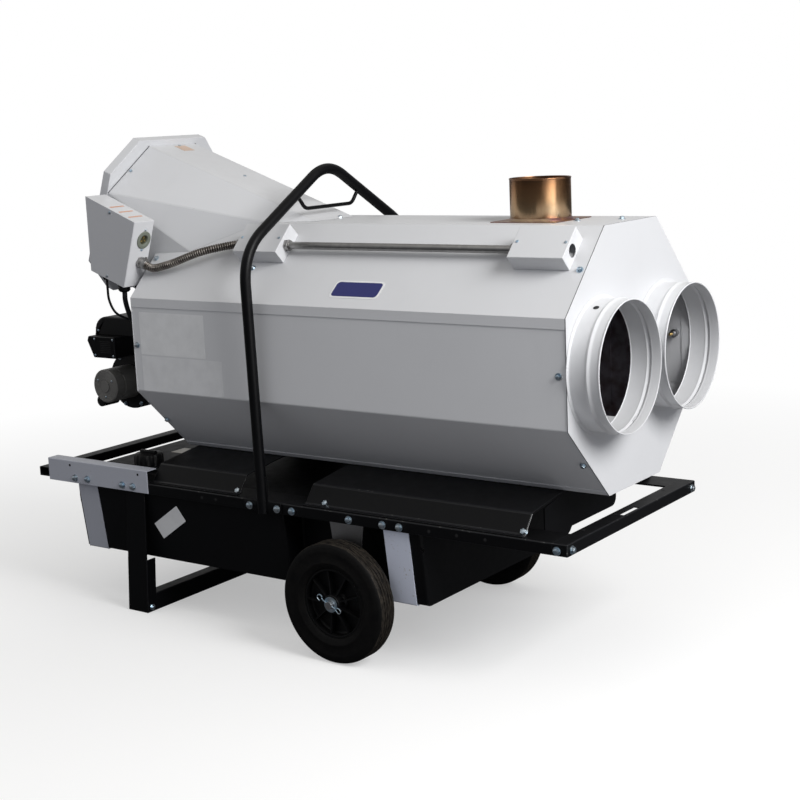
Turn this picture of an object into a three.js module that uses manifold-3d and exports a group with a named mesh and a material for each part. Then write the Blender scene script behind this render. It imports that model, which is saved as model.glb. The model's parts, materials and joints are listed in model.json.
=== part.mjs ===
// Indirect-fired forced air heater on a wheeled frame, in millimetres, +Z up.
//
// The heater is laid out along X: 0 is the outer face of the cabinet's front panel, the
// outlet collars point to +X, and the fan hood, the burner and the lifting end lie at -X.
// "Left" is the -Y side, as seen by a person who stands in front of the outlets.
// The last lines shift everything so that the origin is at the middle of the footprint.
import * as THREE from 'three';
import { mergeVertices } from 'three/addons/utils/BufferGeometryUtils.js';
import Module from 'manifold-3d';

const wasm = await Module();
wasm.setup();

// ---------------------------------------------------------------- driving dimensions

const gap = 0.3; // clearance between pieces that sit against each other

// Cabinet: an octagonal casing of folded sheet.
const cabinetLength = 1352;
const cabinetBottom = 449;
const cabinetHeight = 637;
const cabinetHalfWidth = 322;
const topHalfWidth = 132.5;
const sideLow = 639;
const sideHigh = 896;
const sheet = 1.5;
const coverLip = 25;
const endFlange = 25;
const panelLap = 18;

// Outlets.
const collarRadius = 154;
const collarSpacing = 329;
const collarHeight = 768;
const collarLength = 79;
const collarWall = 1.5;
const collarFlange = 9;
const beadHeight = 4;
const beadPlace = 48;

// Flue.
const flueRadius = 75;
const flueHeight = 104;
const flueX = -245;
const flueWall = 2;
const fluePlateSide = 180;
const fluePlateThickness = 2;

// Heating core inside the cabinet.
const chamberFloorGap = 26;
const chamberWall = 3;
const chamberBackGap = 90;
const chamberFront = -250;
const coreGap = 15;
const exchangerTopGap = 56;
const exchangerRadius = 105;
const exchangerWall = 2;
const exchangerBackGap = 202;
const exchangerFront = -150;
const neckRadius = 50;
const neckInset = 70;
const cradleX = -330;
const cradleThickness = 3;

// Fan hood: an inclined octagonal duct that lands on the cabinet's rear end.
const hoodTilt = 19.8;
const flangeOverhang = 106.6;
const flangeTopZ = 1312.5;
const flangeSide = 454;
const flangeChamfer = 93;
const flangeDepth = 27.5;
const hoodTopDrop = 17;
const hoodTopHalf = 94;
const hoodTopTaper = 0.021;
const hoodShoulderDrop = 147.7;
const hoodShoulderHalf = 224.2;
const hoodShoulderFlare = -0.057;
const hoodShoulderFall = 0.178;
const hoodBottomHalf = 94;
const hoodLength = 760;

// Fan.
const inletRadius = 205;
const fanRadius = 192;
const fanHubRadius = 46;
const fanHubLength = 40;
const fanBlades = 6;
const bladePitch = 32;
const bladeChord = 96;
const fanPlace = 38;
const fanMotorRadius = 64;
const fanMotorLength = 120;
const fanShaftRadius = 8;
const shaftDepth = 30;
const shaftClearance = 0.4;
const guardWire = 4;
const guardRings = 5;
const guardRingPitch = 41;
const guardFirstRing = 48;
const guardSpokes = 8;
const motorBarWidth = 40;
const motorBarThickness = 4;

// Control box on the left side of the hood: its outline in X and Z, as a folded box.
const boxOuterY = -318;
const boxOverhang = 148.5;
const boxRearTopZ = 1171;
const boxTopLength = 195;
const boxFrontHeight = 189;
const boxSheet = 1.5;
const boxDepth = 77;
const lidThickness = 2;
const lidLip = 12;

// Conduit and its two junction boxes on the upper left slant.
const junctionLow = 134;
const junctionUp = 94;
const junctionHeight = 44;
const junctionLength = 148;
const junctionInset = 323;
const junctionFrontX = -189;
const junctionSheet = 2;
const conduitRadius = 9.5;
const conduitPlace = 92;
const conduitLift = 20;
const knockout = 16;
const locknutRadius = 17;
const locknutLength = 12;
const flexRadius = 11;
const flexRibDepth = 1.6;
const flexRibPitch = 6.2;
const flexBore = 7;

// Burner.
const burnerY = 25;
const blastTubeRadius = 56;
const blastTubeHeight = 632;
const scrollRadius = 86;
const scrollWidth = 122;
const burnerMotorRadius = 50;
const burnerMotorLength = 104;
const burnerMotorFace = -140;
const burnerOverhang = 320;
const burnerMotorZ = 598;
const burnerShaftRadius = 6;
const ductOverhang = 88;
const coverOverhang = 376;
const coverNoseOverhang = 88;
const burnerCoverLow = 748;
const burnerCoverHigh = 802;
const ignitionNear = -148;
const ignitionFar = 66;
const ignitionOverhang = 260;
const buttonRadius = 7;
const buttonY = -110;

// Frame.
const frameHalfWidth = 339;
const railTop = 382;
const railHeight = 29;
const railThickness = 3;
const railFlange = 88;
const crossbarWidth = 40;
const frameOverhang = 407;
const frontBarWidth = 40;
const slotLength = 82;
const slotWidth = 14;
const slotY = -10;
const slotEdge = 6;
const extensionLap = 32;
const extensionTop = 419;
const extensionHeight = 65;
const extensionFlange = 38;
const extensionThickness = 3;

// Decks that carry the cabinet.
const deckThickness = 3;
const deckFootHalf = 322;
const deckKneeHalf = 284;
const deckKneeZ = 430;
const deckShoulderHalf = 170;
const rearDeckInset = 34;
const rearDeckLength = 318;
const frontDeckRear = -775;
const frontDeckFront = -120;
const deckApron = 95;
const deckApronHalf = 128;

// Lifting hoop.
const hoopX = -902;
const hoopRadius = 14;
const hoopFootHalf = 341;
const hoopFootZ = 350;
const hoopKneeHalf = 358;
const hoopKneeDrop = 54;
const hoopKneeBend = 90;
const hoopPeakRise = 127;
const hoopPeakBend = 75;
const eyeBarRadius = 5;
const eyeBarHalf = 97;
const eyeBarRise = 35;
const hoopPlateHalf = 62;
const hoopStripThickness = 5;

// Fuel tank.
const tankFrontX = -412;
const tankOverhang = 270;
const tankBottom = 160;
const tankTopHalf = 331;
const tankBottomHalf = 304;
const tankWall = 6;
const recessRearX = -850;
const recessFrontX = -448;
const recessDepth = 58;
const axleGroove = 44;
const strapWidth = 76;
const strapThickness = 2.5;
const frontStrapX = -485.5;
const rearStrapOverhang = 221;
const capOverhang = 94;
const capY = -205;
const capRadius = 44;
const capHeight = 32;
const neckHeight = 22;
const fillerSeat = 398;
const manifoldBack = 30;
const manifoldNear = -215;
const manifoldFar = -120;
const fillerRadius = 34;
const fillerWall = 3;

// Wheels.
const wheelX = -648;
const wheelRadius = 156.5;
const wheelWidth = 66;
const wheelOuterY = 398;
const rimRadius = 90;
const rimWall = 5;
const hubRadius = 24;
const hubWidth = 62;
const rimSpokes = 9;
const axleRadius = 10;
const axleClearance = 0.4;
const axleEnd = 12;
const axlePlateHalf = 314;
const axlePlateThickness = 4;

// Stand.
const standTopOverhang = 22;
const standFootOverhang = 48;
const standWidth = 76;
const standHalf = 335.7;
const standThickness = 4;
const standDepth = 34;
const standBarHeight = 50;
const standBarDepth = 40;

// ---------------------------------------------------------------- derived places

// X of the cabinet's two ends, and of what is placed from its rear end.
const front = 0;
const rear = -cabinetLength;
const flangeTopX = rear - flangeOverhang;
const boxRearX = rear - boxOverhang;
const burnerMotorX = rear - burnerOverhang;
const ductFront = rear - ductOverhang;
const burnerCoverBack = rear - coverOverhang;
const burnerCoverNose = rear - coverNoseOverhang;
const ignitionFront = rear - ignitionOverhang;
const crossbarRearX = rear - frameOverhang;
const railRearX = crossbarRearX + crossbarWidth;
const tankRearX = rear - tankOverhang;
const rearStrapX = rear - rearStrapOverhang;
const capX = rear - capOverhang;
const standTopX = rear - standTopOverhang;
const standFootX = rear - standFootOverhang;
const chamberRear = rear + chamberBackGap;
const exchangerRear = rear + exchangerBackGap;
const extensionFrontX = rear + extensionLap;
const rearDeckRear = rear + rearDeckInset;
const manifoldX = rearDeckRear - manifoldBack;
const neckX = exchangerRear + neckInset;
const junctionRearX = rear + junctionInset;
const rearDeckFront = rearDeckRear + rearDeckLength;
const cabinetTop = cabinetBottom + cabinetHeight;
const chamberRadius =
  (cabinetHeight - chamberFloorGap - coreGap - 2 * exchangerRadius - exchangerTopGap) / 2;
const chamberHeight = cabinetBottom + chamberFloorGap + chamberRadius;
const exchangerHeight = chamberHeight + chamberRadius + coreGap + exchangerRadius;
const hoopKneeZ = cabinetTop - hoopKneeDrop;
const hoopPeak = cabinetTop + hoopPeakRise;
const eyeBarZ = cabinetTop + eyeBarRise;

// ---------------------------------------------------------------- finishes

const finish = {
  white: new THREE.MeshStandardMaterial({ color: 0xe4e4e2, roughness: 0.45, metalness: 0.1 }),
  zincSheet: new THREE.MeshStandardMaterial({ color: 0xb9bcc0, roughness: 0.4, metalness: 0.8 }),
  black: new THREE.MeshStandardMaterial({ color: 0x17181a, roughness: 0.5, metalness: 0.2 }),
  greyPaint: new THREE.MeshStandardMaterial({ color: 0xc4c6c9, roughness: 0.5, metalness: 0.3 }),
  tank: new THREE.MeshStandardMaterial({ color: 0x1b1c1f, roughness: 0.65, metalness: 0 }),
  copper: new THREE.MeshStandardMaterial({ color: 0xa5683c, roughness: 0.35, metalness: 0.9 }),
  steel: new THREE.MeshStandardMaterial({ color: 0x8f9296, roughness: 0.45, metalness: 0.9 }),
  hotSteel: new THREE.MeshStandardMaterial({ color: 0x5a3f38, roughness: 0.6, metalness: 0.7 }),
  aluminium: new THREE.MeshStandardMaterial({ color: 0xbfc2c4, roughness: 0.4, metalness: 0.9 }),
  rubber: new THREE.MeshStandardMaterial({ color: 0x202022, roughness: 0.85, metalness: 0 }),
  plastic: new THREE.MeshStandardMaterial({ color: 0x141416, roughness: 0.5, metalness: 0 }),
  brass: new THREE.MeshStandardMaterial({ color: 0xb58b3a, roughness: 0.35, metalness: 0.9 }),
  red: new THREE.MeshStandardMaterial({ color: 0xb3261e, roughness: 0.4, metalness: 0 }),
};

// ---------------------------------------------------------------- shape helpers

const degrees = Math.PI / 180;

// Twice the area of an outline of [a, b] pairs, positive when it runs counter-clockwise.
function turnArea(outline) {
  return outline.reduce((sum, [a, b], i) => {
    const [c, d] = outline[(i + 1) % outline.length];
    return sum + a * d - b * c;
  }, 0);
}

// A prism over an outline of [a, b] pairs, from height 0 to depth along the third axis.
function prism(outline, depth, holes = []) {
  const ordered = turnArea(outline) > 0 ? outline : [...outline].reverse();
  const shape = new THREE.Shape(ordered.map(([a, b]) => new THREE.Vector2(a, b)));
  for (const hole of holes) {
    shape.holes.push(new THREE.Path(hole.map(([a, b]) => new THREE.Vector2(a, b))));
  }
  return new THREE.ExtrudeGeometry(shape, { depth, bevelEnabled: false, steps: 1 });
}

// An outline in Y and Z, drawn out along X.
function alongX(outline, x0, x1, holes = []) {
  const turn = new THREE.Matrix4().makeBasis(
    new THREE.Vector3(0, 1, 0), new THREE.Vector3(0, 0, 1), new THREE.Vector3(1, 0, 0));
  return prism(outline, x1 - x0, holes).applyMatrix4(turn).translate(x0, 0, 0);
}

// An outline in X and Z, drawn out along Y.
function alongY(outline, y0, y1, holes = []) {
  const turn = new THREE.Matrix4().makeBasis(
    new THREE.Vector3(1, 0, 0), new THREE.Vector3(0, 0, 1), new THREE.Vector3(0, -1, 0));
  return prism(outline, y1 - y0, holes).applyMatrix4(turn).translate(0, y1, 0);
}

// An outline in X and Y, drawn up along Z.
function alongZ(outline, z0, z1, holes = []) {
  return prism(outline, z1 - z0, holes).translate(0, 0, z0);
}

function box(x0, x1, y0, y1, z0, z1) {
  return new THREE.BoxGeometry(x1 - x0, y1 - y0, z1 - z0)
    .translate((x0 + x1) / 2, (y0 + y1) / 2, (z0 + z1) / 2);
}

function rectangle(a0, a1, b0, b1) {
  return [[a0, b0], [a1, b0], [a1, b1], [a0, b1]];
}

function circle(radius, count, a = 0, b = 0) {
  return Array.from({ length: count }, (_, i) => {
    const turn = i / count * 2 * Math.PI;
    return [a + radius * Math.cos(turn), b + radius * Math.sin(turn)];
  });
}

// A solid of revolution from [radius, height] pairs about +Z. The pairs close on themselves.
function turned(profile, sides) {
  const ring = [...profile, profile[0]].map(([r, h]) => new THREE.Vector2(r, h));
  return new THREE.LatheGeometry(ring, sides);
}

const spindle = {
  x: new THREE.Matrix4().makeBasis(
    new THREE.Vector3(0, 1, 0), new THREE.Vector3(1, 0, 0), new THREE.Vector3(0, 0, -1)),
  y: new THREE.Matrix4(),
  z: new THREE.Matrix4().makeBasis(
    new THREE.Vector3(1, 0, 0), new THREE.Vector3(0, 0, 1), new THREE.Vector3(0, -1, 0)),
};

// A turned solid whose axis runs along x, y or z through a point; heights count along +axis.
function turnedAlong(axis, profile, sides, x, y, z) {
  return turned(profile, sides).applyMatrix4(spindle[axis]).translate(x, y, z);
}

function rod(axis, radius, from, to, sides, x, y, z) {
  return turnedAlong(axis, [[0, from], [radius, from], [radius, to], [0, to]], sides, x, y, z);
}

function pipe(axis, inner, outer, from, to, sides, x, y, z) {
  const profile = [[inner, from], [outer, from], [outer, to], [inner, to]];
  return turnedAlong(axis, profile, sides, x, y, z);
}

// A convex outline with every edge moved inwards by a distance.
function inset(outline, distance) {
  const n = outline.length;
  const side = Math.sign(turnArea(outline));
  const edges = outline.map(([a, b], i) => {
    const [c, d] = outline[(i + 1) % n];
    const length = Math.hypot(c - a, d - b);
    const normal = [-(d - b) / length * side, (c - a) / length * side];
    return { normal, offset: normal[0] * a + normal[1] * b + distance };
  });
  return outline.map((_, i) => {
    const p = edges[(i + n - 1) % n];
    const q = edges[i];
    const det = p.normal[0] * q.normal[1] - p.normal[1] * q.normal[0];
    return [
      (p.offset * q.normal[1] - q.offset * p.normal[1]) / det,
      (p.normal[0] * q.offset - q.normal[0] * p.offset) / det,
    ];
  });
}

// A folded sheet: an open path of [a, b] pairs, thickened to its left-hand side.
function folded(path, thickness) {
  const normals = path.slice(1).map(([c, d], i) => {
    const [a, b] = path[i];
    const length = Math.hypot(c - a, d - b);
    return [-(d - b) / length, (c - a) / length];
  });
  const inner = path.map(([a, b], i) => {
    const p = normals[Math.max(i - 1, 0)];
    const q = normals[Math.min(i, normals.length - 1)];
    const scale = thickness / (1 + p[0] * q[0] + p[1] * q[1]);
    return [a + (p[0] + q[0]) * scale, b + (p[1] + q[1]) * scale];
  });
  return [...path, ...inner.reverse()];
}

// A closed body between rings that have the same number of points, each ring a list of Vector3.
function loft(rings) {
  const n = rings[0].length;
  const triangles = [];
  for (let r = 0; r + 1 < rings.length; r++) {
    for (let i = 0; i < n; i++) {
      const j = (i + 1) % n;
      const [a, b, c, d] = [rings[r][i], rings[r][j], rings[r + 1][j], rings[r + 1][i]];
      triangles.push(a, b, c, a, c, d);
    }
  }
  const last = rings.at(-1);
  for (let i = 1; i + 1 < n; i++) {
    triangles.push(rings[0][0], rings[0][i + 1], rings[0][i]);
    triangles.push(last[0], last[i], last[i + 1]);
  }
  return new THREE.BufferGeometry().setFromPoints(triangles);
}

// A round or other section swept along a smooth curve.
function swept(curve, section, steps) {
  const shape = new THREE.Shape(section.map(([a, b]) => new THREE.Vector2(a, b)));
  return new THREE.ExtrudeGeometry(shape, { steps, extrudePath: curve, bevelEnabled: false });
}

function solid(geometry) {
  const plain = geometry.index ? geometry.toNonIndexed() : geometry.clone();
  for (const name of Object.keys(plain.attributes)) {
    if (name !== 'position') plain.deleteAttribute(name);
  }
  const merged = mergeVertices(plain, 1e-4);
  const body = new wasm.Manifold(new wasm.Mesh({
    numProp: 3,
    vertProperties: new Float32Array(merged.attributes.position.array),
    triVerts: new Uint32Array(merged.index.array),
  }));
  return body.volume() < 0 ? solid(insideOut(plain)) : body;
}

function insideOut(geometry) {
  const place = geometry.attributes.position;
  for (let i = 0; i < place.count; i += 3) {
    const a = new THREE.Vector3().fromBufferAttribute(place, i + 1);
    const b = new THREE.Vector3().fromBufferAttribute(place, i + 2);
    place.setXYZ(i + 1, b.x, b.y, b.z);
    place.setXYZ(i + 2, a.x, a.y, a.z);
  }
  return geometry;
}

function surface(body) {
  const mesh = body.getMesh();
  const geometry = new THREE.BufferGeometry();
  geometry.setAttribute('position', new THREE.BufferAttribute(mesh.vertProperties, 3));
  geometry.setIndex(new THREE.BufferAttribute(mesh.triVerts, 1));
  return geometry.toNonIndexed();
}

function cut(geometry, ...tools) {
  return surface(tools.reduce((body, tool) => body.subtract(solid(tool)), solid(geometry)));
}

function join(...parts) {
  return surface(parts.map(solid).reduce((body, part) => body.add(part)));
}

const heater = new THREE.Group();

function add(name, geometry, material, parent = heater) {
  const mesh = new THREE.Mesh(geometry, material);
  mesh.name = name;
  parent.add(mesh);
  return mesh;
}

function mirrored(geometry) {
  return insideOut((geometry.index ? geometry.toNonIndexed() : geometry.clone()).scale(1, -1, 1));
}

// A left piece and its mirror image on the right.
function addPair(name, leftGeometry, material) {
  add(`${name}_left`, leftGeometry, material);
  add(`${name}_right`, mirrored(leftGeometry), material);
}

// ---------------------------------------------------------------- cabinet

const octagon = [
  [-topHalfWidth, cabinetBottom], [topHalfWidth, cabinetBottom],
  [cabinetHalfWidth, sideLow], [cabinetHalfWidth, sideHigh],
  [topHalfWidth, cabinetTop], [-topHalfWidth, cabinetTop],
  [-cabinetHalfWidth, sideHigh], [-cabinetHalfWidth, sideLow],
];
const panelInset = sheet + gap;

// Direction down the upper left slant, and its outward normal, as [y, z].
const slantLength = Math.hypot(cabinetHalfWidth - topHalfWidth, cabinetTop - sideHigh);
const slantDown = [
  -(cabinetHalfWidth - topHalfWidth) / slantLength, -(cabinetTop - sideHigh) / slantLength];
const slantOut = [slantDown[1], -slantDown[0]];

// A point on the left slant: so far down from its top edge, and so far out from the sheet.
function onSlant(down, out) {
  return [
    -topHalfWidth + slantDown[0] * down + slantOut[0] * out,
    cabinetTop + slantDown[1] * down + slantOut[1] * out,
  ];
}

function endPanel(face, inward) {
  const plate = alongX(octagon, Math.min(face, face + inward * sheet), Math.max(face, face + inward * sheet));
  const start = face + inward * sheet;
  const end = face + inward * endFlange;
  const flange = alongX(
    inset(octagon, panelInset + sheet + gap), Math.min(start, end), Math.max(start, end),
    [inset(octagon, panelInset + 2 * sheet + gap)]);
  return [plate, flange];
}

function collarHole(y) {
  return rod('x', collarRadius - collarWall - 1, -sheet - 10, 10, 48, front, y, collarHeight);
}

function frontPanel() {
  const [plate, flange] = endPanel(front, -1);
  const holes = [-1, 1].map((side) => collarHole(side * collarSpacing / 2));
  return cut(join(plate, flange), ...holes);
}

function rearPanel(hoodBore) {
  const [plate, flange] = endPanel(rear, 1);
  const burnerHole = rod(
    'x', blastTubeRadius + gap, -20, 20, 32, rear, burnerY, blastTubeHeight);
  return cut(join(plate, flange), hoodBore, burnerHole);
}

// The cover wraps the top and both upper slants and ends in a vertical lip on each side.
function upperCover(hoodBore) {
  const path = [
    [cabinetHalfWidth, sideHigh - coverLip], [cabinetHalfWidth, sideHigh],
    [topHalfWidth, cabinetTop], [-topHalfWidth, cabinetTop],
    [-cabinetHalfWidth, sideHigh], [-cabinetHalfWidth, sideHigh - coverLip],
  ];
  const shell = alongX(folded(path, sheet), rear + panelInset, front - panelInset);
  const flueHole = rod(
    'z', flueRadius + gap, cabinetTop - 30, cabinetTop + 30, 48, flueX, 0, 0);
  return cut(shell, hoodBore, flueHole);
}

// A side panel stands inside the cover's lip, bends inwards and laps under the bottom pan.
function leftSidePanel() {
  const low = inset(octagon, panelInset);
  const outer = low[7];
  const foot = low[0];
  const path = [[outer[0], sideHigh - 4], [outer[0], outer[1]], [foot[0], foot[1]]];
  return alongX(folded(path, sheet), rear + panelInset, front - panelInset);
}

// The bottom pan carries a lip up each lower slant, outside the side panels.
function bottomPan() {
  const rise = [
    (cabinetHalfWidth - topHalfWidth), (sideLow - cabinetBottom)];
  const length = Math.hypot(...rise);
  const lip = [rise[0] / length * panelLap, rise[1] / length * panelLap];
  const path = [
    [-topHalfWidth - lip[0], cabinetBottom + lip[1]], [-topHalfWidth, cabinetBottom],
    [topHalfWidth, cabinetBottom], [topHalfWidth + lip[0], cabinetBottom + lip[1]],
  ];
  return alongX(folded(path, sheet), rear + panelInset, front - panelInset);
}

// An outlet collar: a foot ring on the front panel, a raised bead and a rolled rim.
function outletCollar(y) {
  const r = collarRadius;
  const profile = [
    [r - collarWall, 0], [r + collarFlange, 0], [r + collarFlange, sheet], [r, sheet],
    [r, beadPlace - beadHeight], [r + beadHeight, beadPlace], [r, beadPlace + beadHeight],
    [r, collarLength - 5], [r + 3, collarLength - 3], [r + 2, collarLength],
    [r - collarWall, collarLength],
    [r - collarWall, beadPlace + beadHeight], [r - collarWall + beadHeight, beadPlace],
    [r - collarWall, beadPlace - beadHeight],
  ];
  return turnedAlong('x', profile, 40, front + gap, y, collarHeight);
}

// ---------------------------------------------------------------- flue and heating core

function fluePlate() {
  const half = fluePlateSide / 2;
  const outline = rectangle(flueX - half, flueX + half, -half, half);
  const z0 = cabinetTop + gap;
  return alongZ(outline, z0, z0 + fluePlateThickness, [circle(flueRadius + gap, 48, flueX, 0)]);
}

function fluePipe() {
  const low = exchangerHeight + exchangerRadius - 6;
  return pipe(
    'z', flueRadius - flueWall, flueRadius, low, cabinetTop + flueHeight, 48, flueX, 0, 0);
}

// The chamber is a closed drum with a mouth at the rear and a neck stub towards the exchanger.
function combustionChamber() {
  const outer = rod('x', chamberRadius, chamberRear, chamberFront, 40, 0, 0, chamberHeight);
  const inner = rod(
    'x', chamberRadius - chamberWall, chamberRear + chamberWall, chamberFront - chamberWall,
    40, 0, 0, chamberHeight);
  const mouth = rod(
    'x', blastTubeRadius + gap, chamberRear - 5, chamberRear + 10, 32, 0, burnerY,
    blastTubeHeight);
  const neckTop = exchangerHeight - exchangerRadius + 5;
  const neck = rod('z', neckRadius, chamberHeight, neckTop, 24, neckX, 0, 0);
  const neckBore = rod('z', neckRadius - chamberWall, chamberHeight, neckTop + 1, 24, neckX, 0, 0);
  return cut(join(outer, neck), inner, mouth, neckBore);
}

function heatExchanger() {
  const outer = rod('x', exchangerRadius, exchangerRear, exchangerFront, 32, 0, 0, exchangerHeight);
  const inner = rod(
    'x', exchangerRadius - exchangerWall, exchangerRear + exchangerWall,
    exchangerFront - exchangerWall, 32, 0, 0, exchangerHeight);
  const flueHole = rod(
    'z', flueRadius + gap, exchangerHeight, cabinetTop, 48, flueX, 0, 0);
  const neckHole = rod(
    'z', neckRadius + gap, exchangerHeight - exchangerRadius - 40, exchangerHeight,
    24, neckX, 0, 0);
  return cut(outer, inner, flueHole, neckHole);
}

// A plate that hangs the chamber and the exchanger between the cabinet's walls.
function coreCradle(x) {
  const outline = inset(octagon, panelInset + sheet + gap);
  const window = 60;
  const plate = alongX(outline, x, x + cradleThickness);
  const seats = [
    rod('x', chamberRadius + gap, x - 5, x + 8, 40, 0, 0, chamberHeight),
    rod('x', exchangerRadius + gap, x - 5, x + 8, 32, 0, 0, exchangerHeight),
  ];
  const side = [-1, 1].map((s) => box(
    x - 5, x + 8, s > 0 ? 190 : -290, s > 0 ? 290 : -190, sideLow + window, sideHigh - window));
  return cut(plate, ...seats, ...side);
}

function overheatSensor() {
  const y = cabinetHalfWidth - panelInset - sheet - gap;
  const x = -40;
  const z = 773;
  const body = rod('y', 11, -16, 0, 12, x, y, z);
  const probe = rod('y', 4, -38, -15, 8, x, y, z);
  return join(body, probe);
}

// ---------------------------------------------------------------- fan hood

// A point of the hood: so far forward along its axis, across, and down its inclined face.
const forward = [Math.cos(hoodTilt * degrees), -Math.sin(hoodTilt * degrees)];
const downward = [-Math.sin(hoodTilt * degrees), -Math.cos(hoodTilt * degrees)];

function hoodPoint(along, y, drop) {
  return new THREE.Vector3(
    flangeTopX + forward[0] * along + downward[0] * drop, y,
    flangeTopZ + forward[1] * along + downward[1] * drop);
}

function hoodRing(along, inwards) {
  const bottom = flangeSide - hoodTopDrop;
  const flare = hoodShoulderFlare * along;
  const outline = [
    [hoodTopHalf - hoodTopTaper * along, hoodTopDrop],
    [hoodShoulderHalf + flare, hoodShoulderDrop + hoodShoulderFall * along],
    [hoodShoulderHalf + flare, flangeSide - hoodShoulderDrop],
    [hoodBottomHalf + flare, bottom],
  ];
  const left = outline.map(([y, drop]) => [-y, drop]).reverse();
  return inset([...outline, ...left], inwards).map(([y, drop]) => hoodPoint(along, y, drop));
}

function hoodBody(inwards, start, end) {
  return loft([hoodRing(start, inwards), hoodRing(end, inwards)]);
}

// The duct ends where it meets the cabinet's skin, a hair outside it.
function fanHood() {
  const keepOut = alongX(inset(octagon, -gap), rear - gap, front + gap);
  const duct = cut(hoodBody(0, 0, hoodLength), hoodBody(sheet, -5, hoodLength + 5), keepOut);
  return duct;
}

function flangeOutline(distance = 0) {
  const half = flangeSide / 2;
  const flat = half - flangeChamfer;
  const corners = [
    [flat, 0], [half, flangeChamfer], [half, flangeSide - flangeChamfer], [flat, flangeSide],
    [-flat, flangeSide], [-half, flangeSide - flangeChamfer], [-half, flangeChamfer], [-flat, 0],
  ];
  return inset(corners, distance);
}

// Everything of the fan turns about the hood's axis, which starts at the flange's middle.
const fanFrame = new THREE.Group();
fanFrame.position.copy(hoodPoint(0, 0, flangeSide / 2));
fanFrame.rotation.y = hoodTilt * degrees;
heater.add(fanFrame);

// In the fan's frame X runs forward along the axis, Y across and Z up the inclined face.
function inletFlange() {
  const outline = flangeOutline().map(([y, drop]) => [y, flangeSide / 2 - drop]);
  const plate = alongX(outline, -sheet - gap, -gap, [circle(inletRadius, 48)]);
  const rim = alongX(outline, -flangeDepth, -gap, [inset(outline, sheet)]);
  return join(plate, rim);
}

function fanGuard() {
  const plane = -sheet - 2 * gap - guardWire;
  const wire = (r) => pipe('x', r - guardWire / 2, r + guardWire / 2, 0, guardWire, 28, plane, 0, 0);
  const rings = Array.from({ length: guardRings }, (_, i) => wire(guardFirstRing + i * guardRingPitch));
  const reach = guardFirstRing + (guardRings - 1) * guardRingPitch;
  const spokes = Array.from({ length: guardSpokes / 2 }, (_, i) => {
    const bar = box(plane, plane + guardWire, -reach, reach, -guardWire / 2, guardWire / 2);
    return bar.rotateX((i + 0.5) / guardSpokes * 2 * Math.PI);
  });
  return join(...rings, ...spokes);
}

const motorRear = fanPlace + fanHubLength / 2 + 12;
const motorFront = motorRear + fanMotorLength;

// A hub with its shaft, and blades that twist from a steep root to a flat tip.
function fanImpeller() {
  const hub = rod('x', fanHubRadius, -fanHubLength / 2, fanHubLength / 2, 24, 0, 0, 0);
  const shaft = rod('x', fanShaftRadius, 0, motorRear + shaftDepth - fanPlace, 12, 0, 0, 0);
  const blades = Array.from({ length: fanBlades }, (_, i) => {
    const sections = [0, 0.35, 0.7, 1].map((t) => {
      const r = fanHubRadius - 6 + (fanRadius - fanHubRadius + 6) * t;
      const pitch = (bladePitch + 14 - 22 * t) * degrees;
      const chord = bladeChord * (0.55 + 0.45 * t);
      const half = 1.6;
      return [[-chord / 2, -half], [chord / 2, -half], [chord / 2, half], [-chord / 2, half]]
        .map(([c, n]) => {
          const across = c * Math.cos(pitch) - n * Math.sin(pitch);
          const axial = c * Math.sin(pitch) + n * Math.cos(pitch);
          const bent = across / r;
          return new THREE.Vector3(axial * 0.55, r * Math.sin(bent), r * Math.cos(bent));
        });
    });
    return loft(sections).rotateX(i / fanBlades * 2 * Math.PI);
  });
  return join(hub, shaft, ...blades).translate(fanPlace, 0, 0);
}

function fanMotor() {
  const can = rod('x', fanMotorRadius, motorRear, motorFront, 28, 0, 0, 0);
  const boss = rod('x', fanMotorRadius * 0.4, motorRear - 8, motorRear + 1, 20, 0, 0, 0);
  const bore = rod(
    'x', fanShaftRadius + shaftClearance, motorRear - 10, motorRear + shaftDepth + 1, 12, 0, 0, 0);
  return cut(join(can, boss), bore);
}

// A bar across the duct behind the motor, with feet that come back to the flange plate.
function fanMotorBracket() {
  const reach = inletRadius + 1;
  const foot = 13;
  const back = motorFront + gap;
  const path = [
    [gap, -reach - foot], [gap, -reach], [back, -reach], [back, reach], [gap, reach],
    [gap, reach + foot],
  ];
  const bar = prism(folded(path.reverse(), motorBarThickness), motorBarWidth)
    .translate(0, 0, -motorBarWidth / 2);
  return bar;
}

// ---------------------------------------------------------------- control box

// The box follows the hood's incline, but its rear edge is upright.
function boxCorners() {
  const rearTop = [boxRearX, boxRearTopZ];
  const frontTop = [
    rearTop[0] + boxTopLength * Math.cos((hoodTilt + 1.6) * degrees),
    rearTop[1] - boxTopLength * Math.sin((hoodTilt + 1.6) * degrees)];
  const frontLow = [
    frontTop[0] + downward[0] * boxFrontHeight * 0.92,
    frontTop[1] + downward[1] * boxFrontHeight];
  const fall = (frontLow[0] - boxRearX) * Math.tan(hoodTilt * degrees);
  return [rearTop, [boxRearX, frontLow[1] + fall], frontLow, frontTop];
}

// The box stands off the hood's side on a pad that meets the widest part it covers.
const boxInnerY = boxOuterY + boxDepth;
const boxPad = { x: rear - 98, z: cabinetTop - 36, length: 60, height: 80 };

function boxPadReach() {
  const { x, z, length, height } = boxPad;
  const nearest = (x - length / 2 - flangeTopX) * forward[0]
    + (z + height / 2 - flangeTopZ) * forward[1];
  return -(hoodShoulderHalf + Math.max(hoodShoulderFlare, 0) * (nearest + 120)
    + Math.min(hoodShoulderFlare, 0) * nearest) - gap;
}

const boxSocket = { drop: 54, out: 47 };
const boxConnector = { drop: 118, out: 47 };

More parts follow.
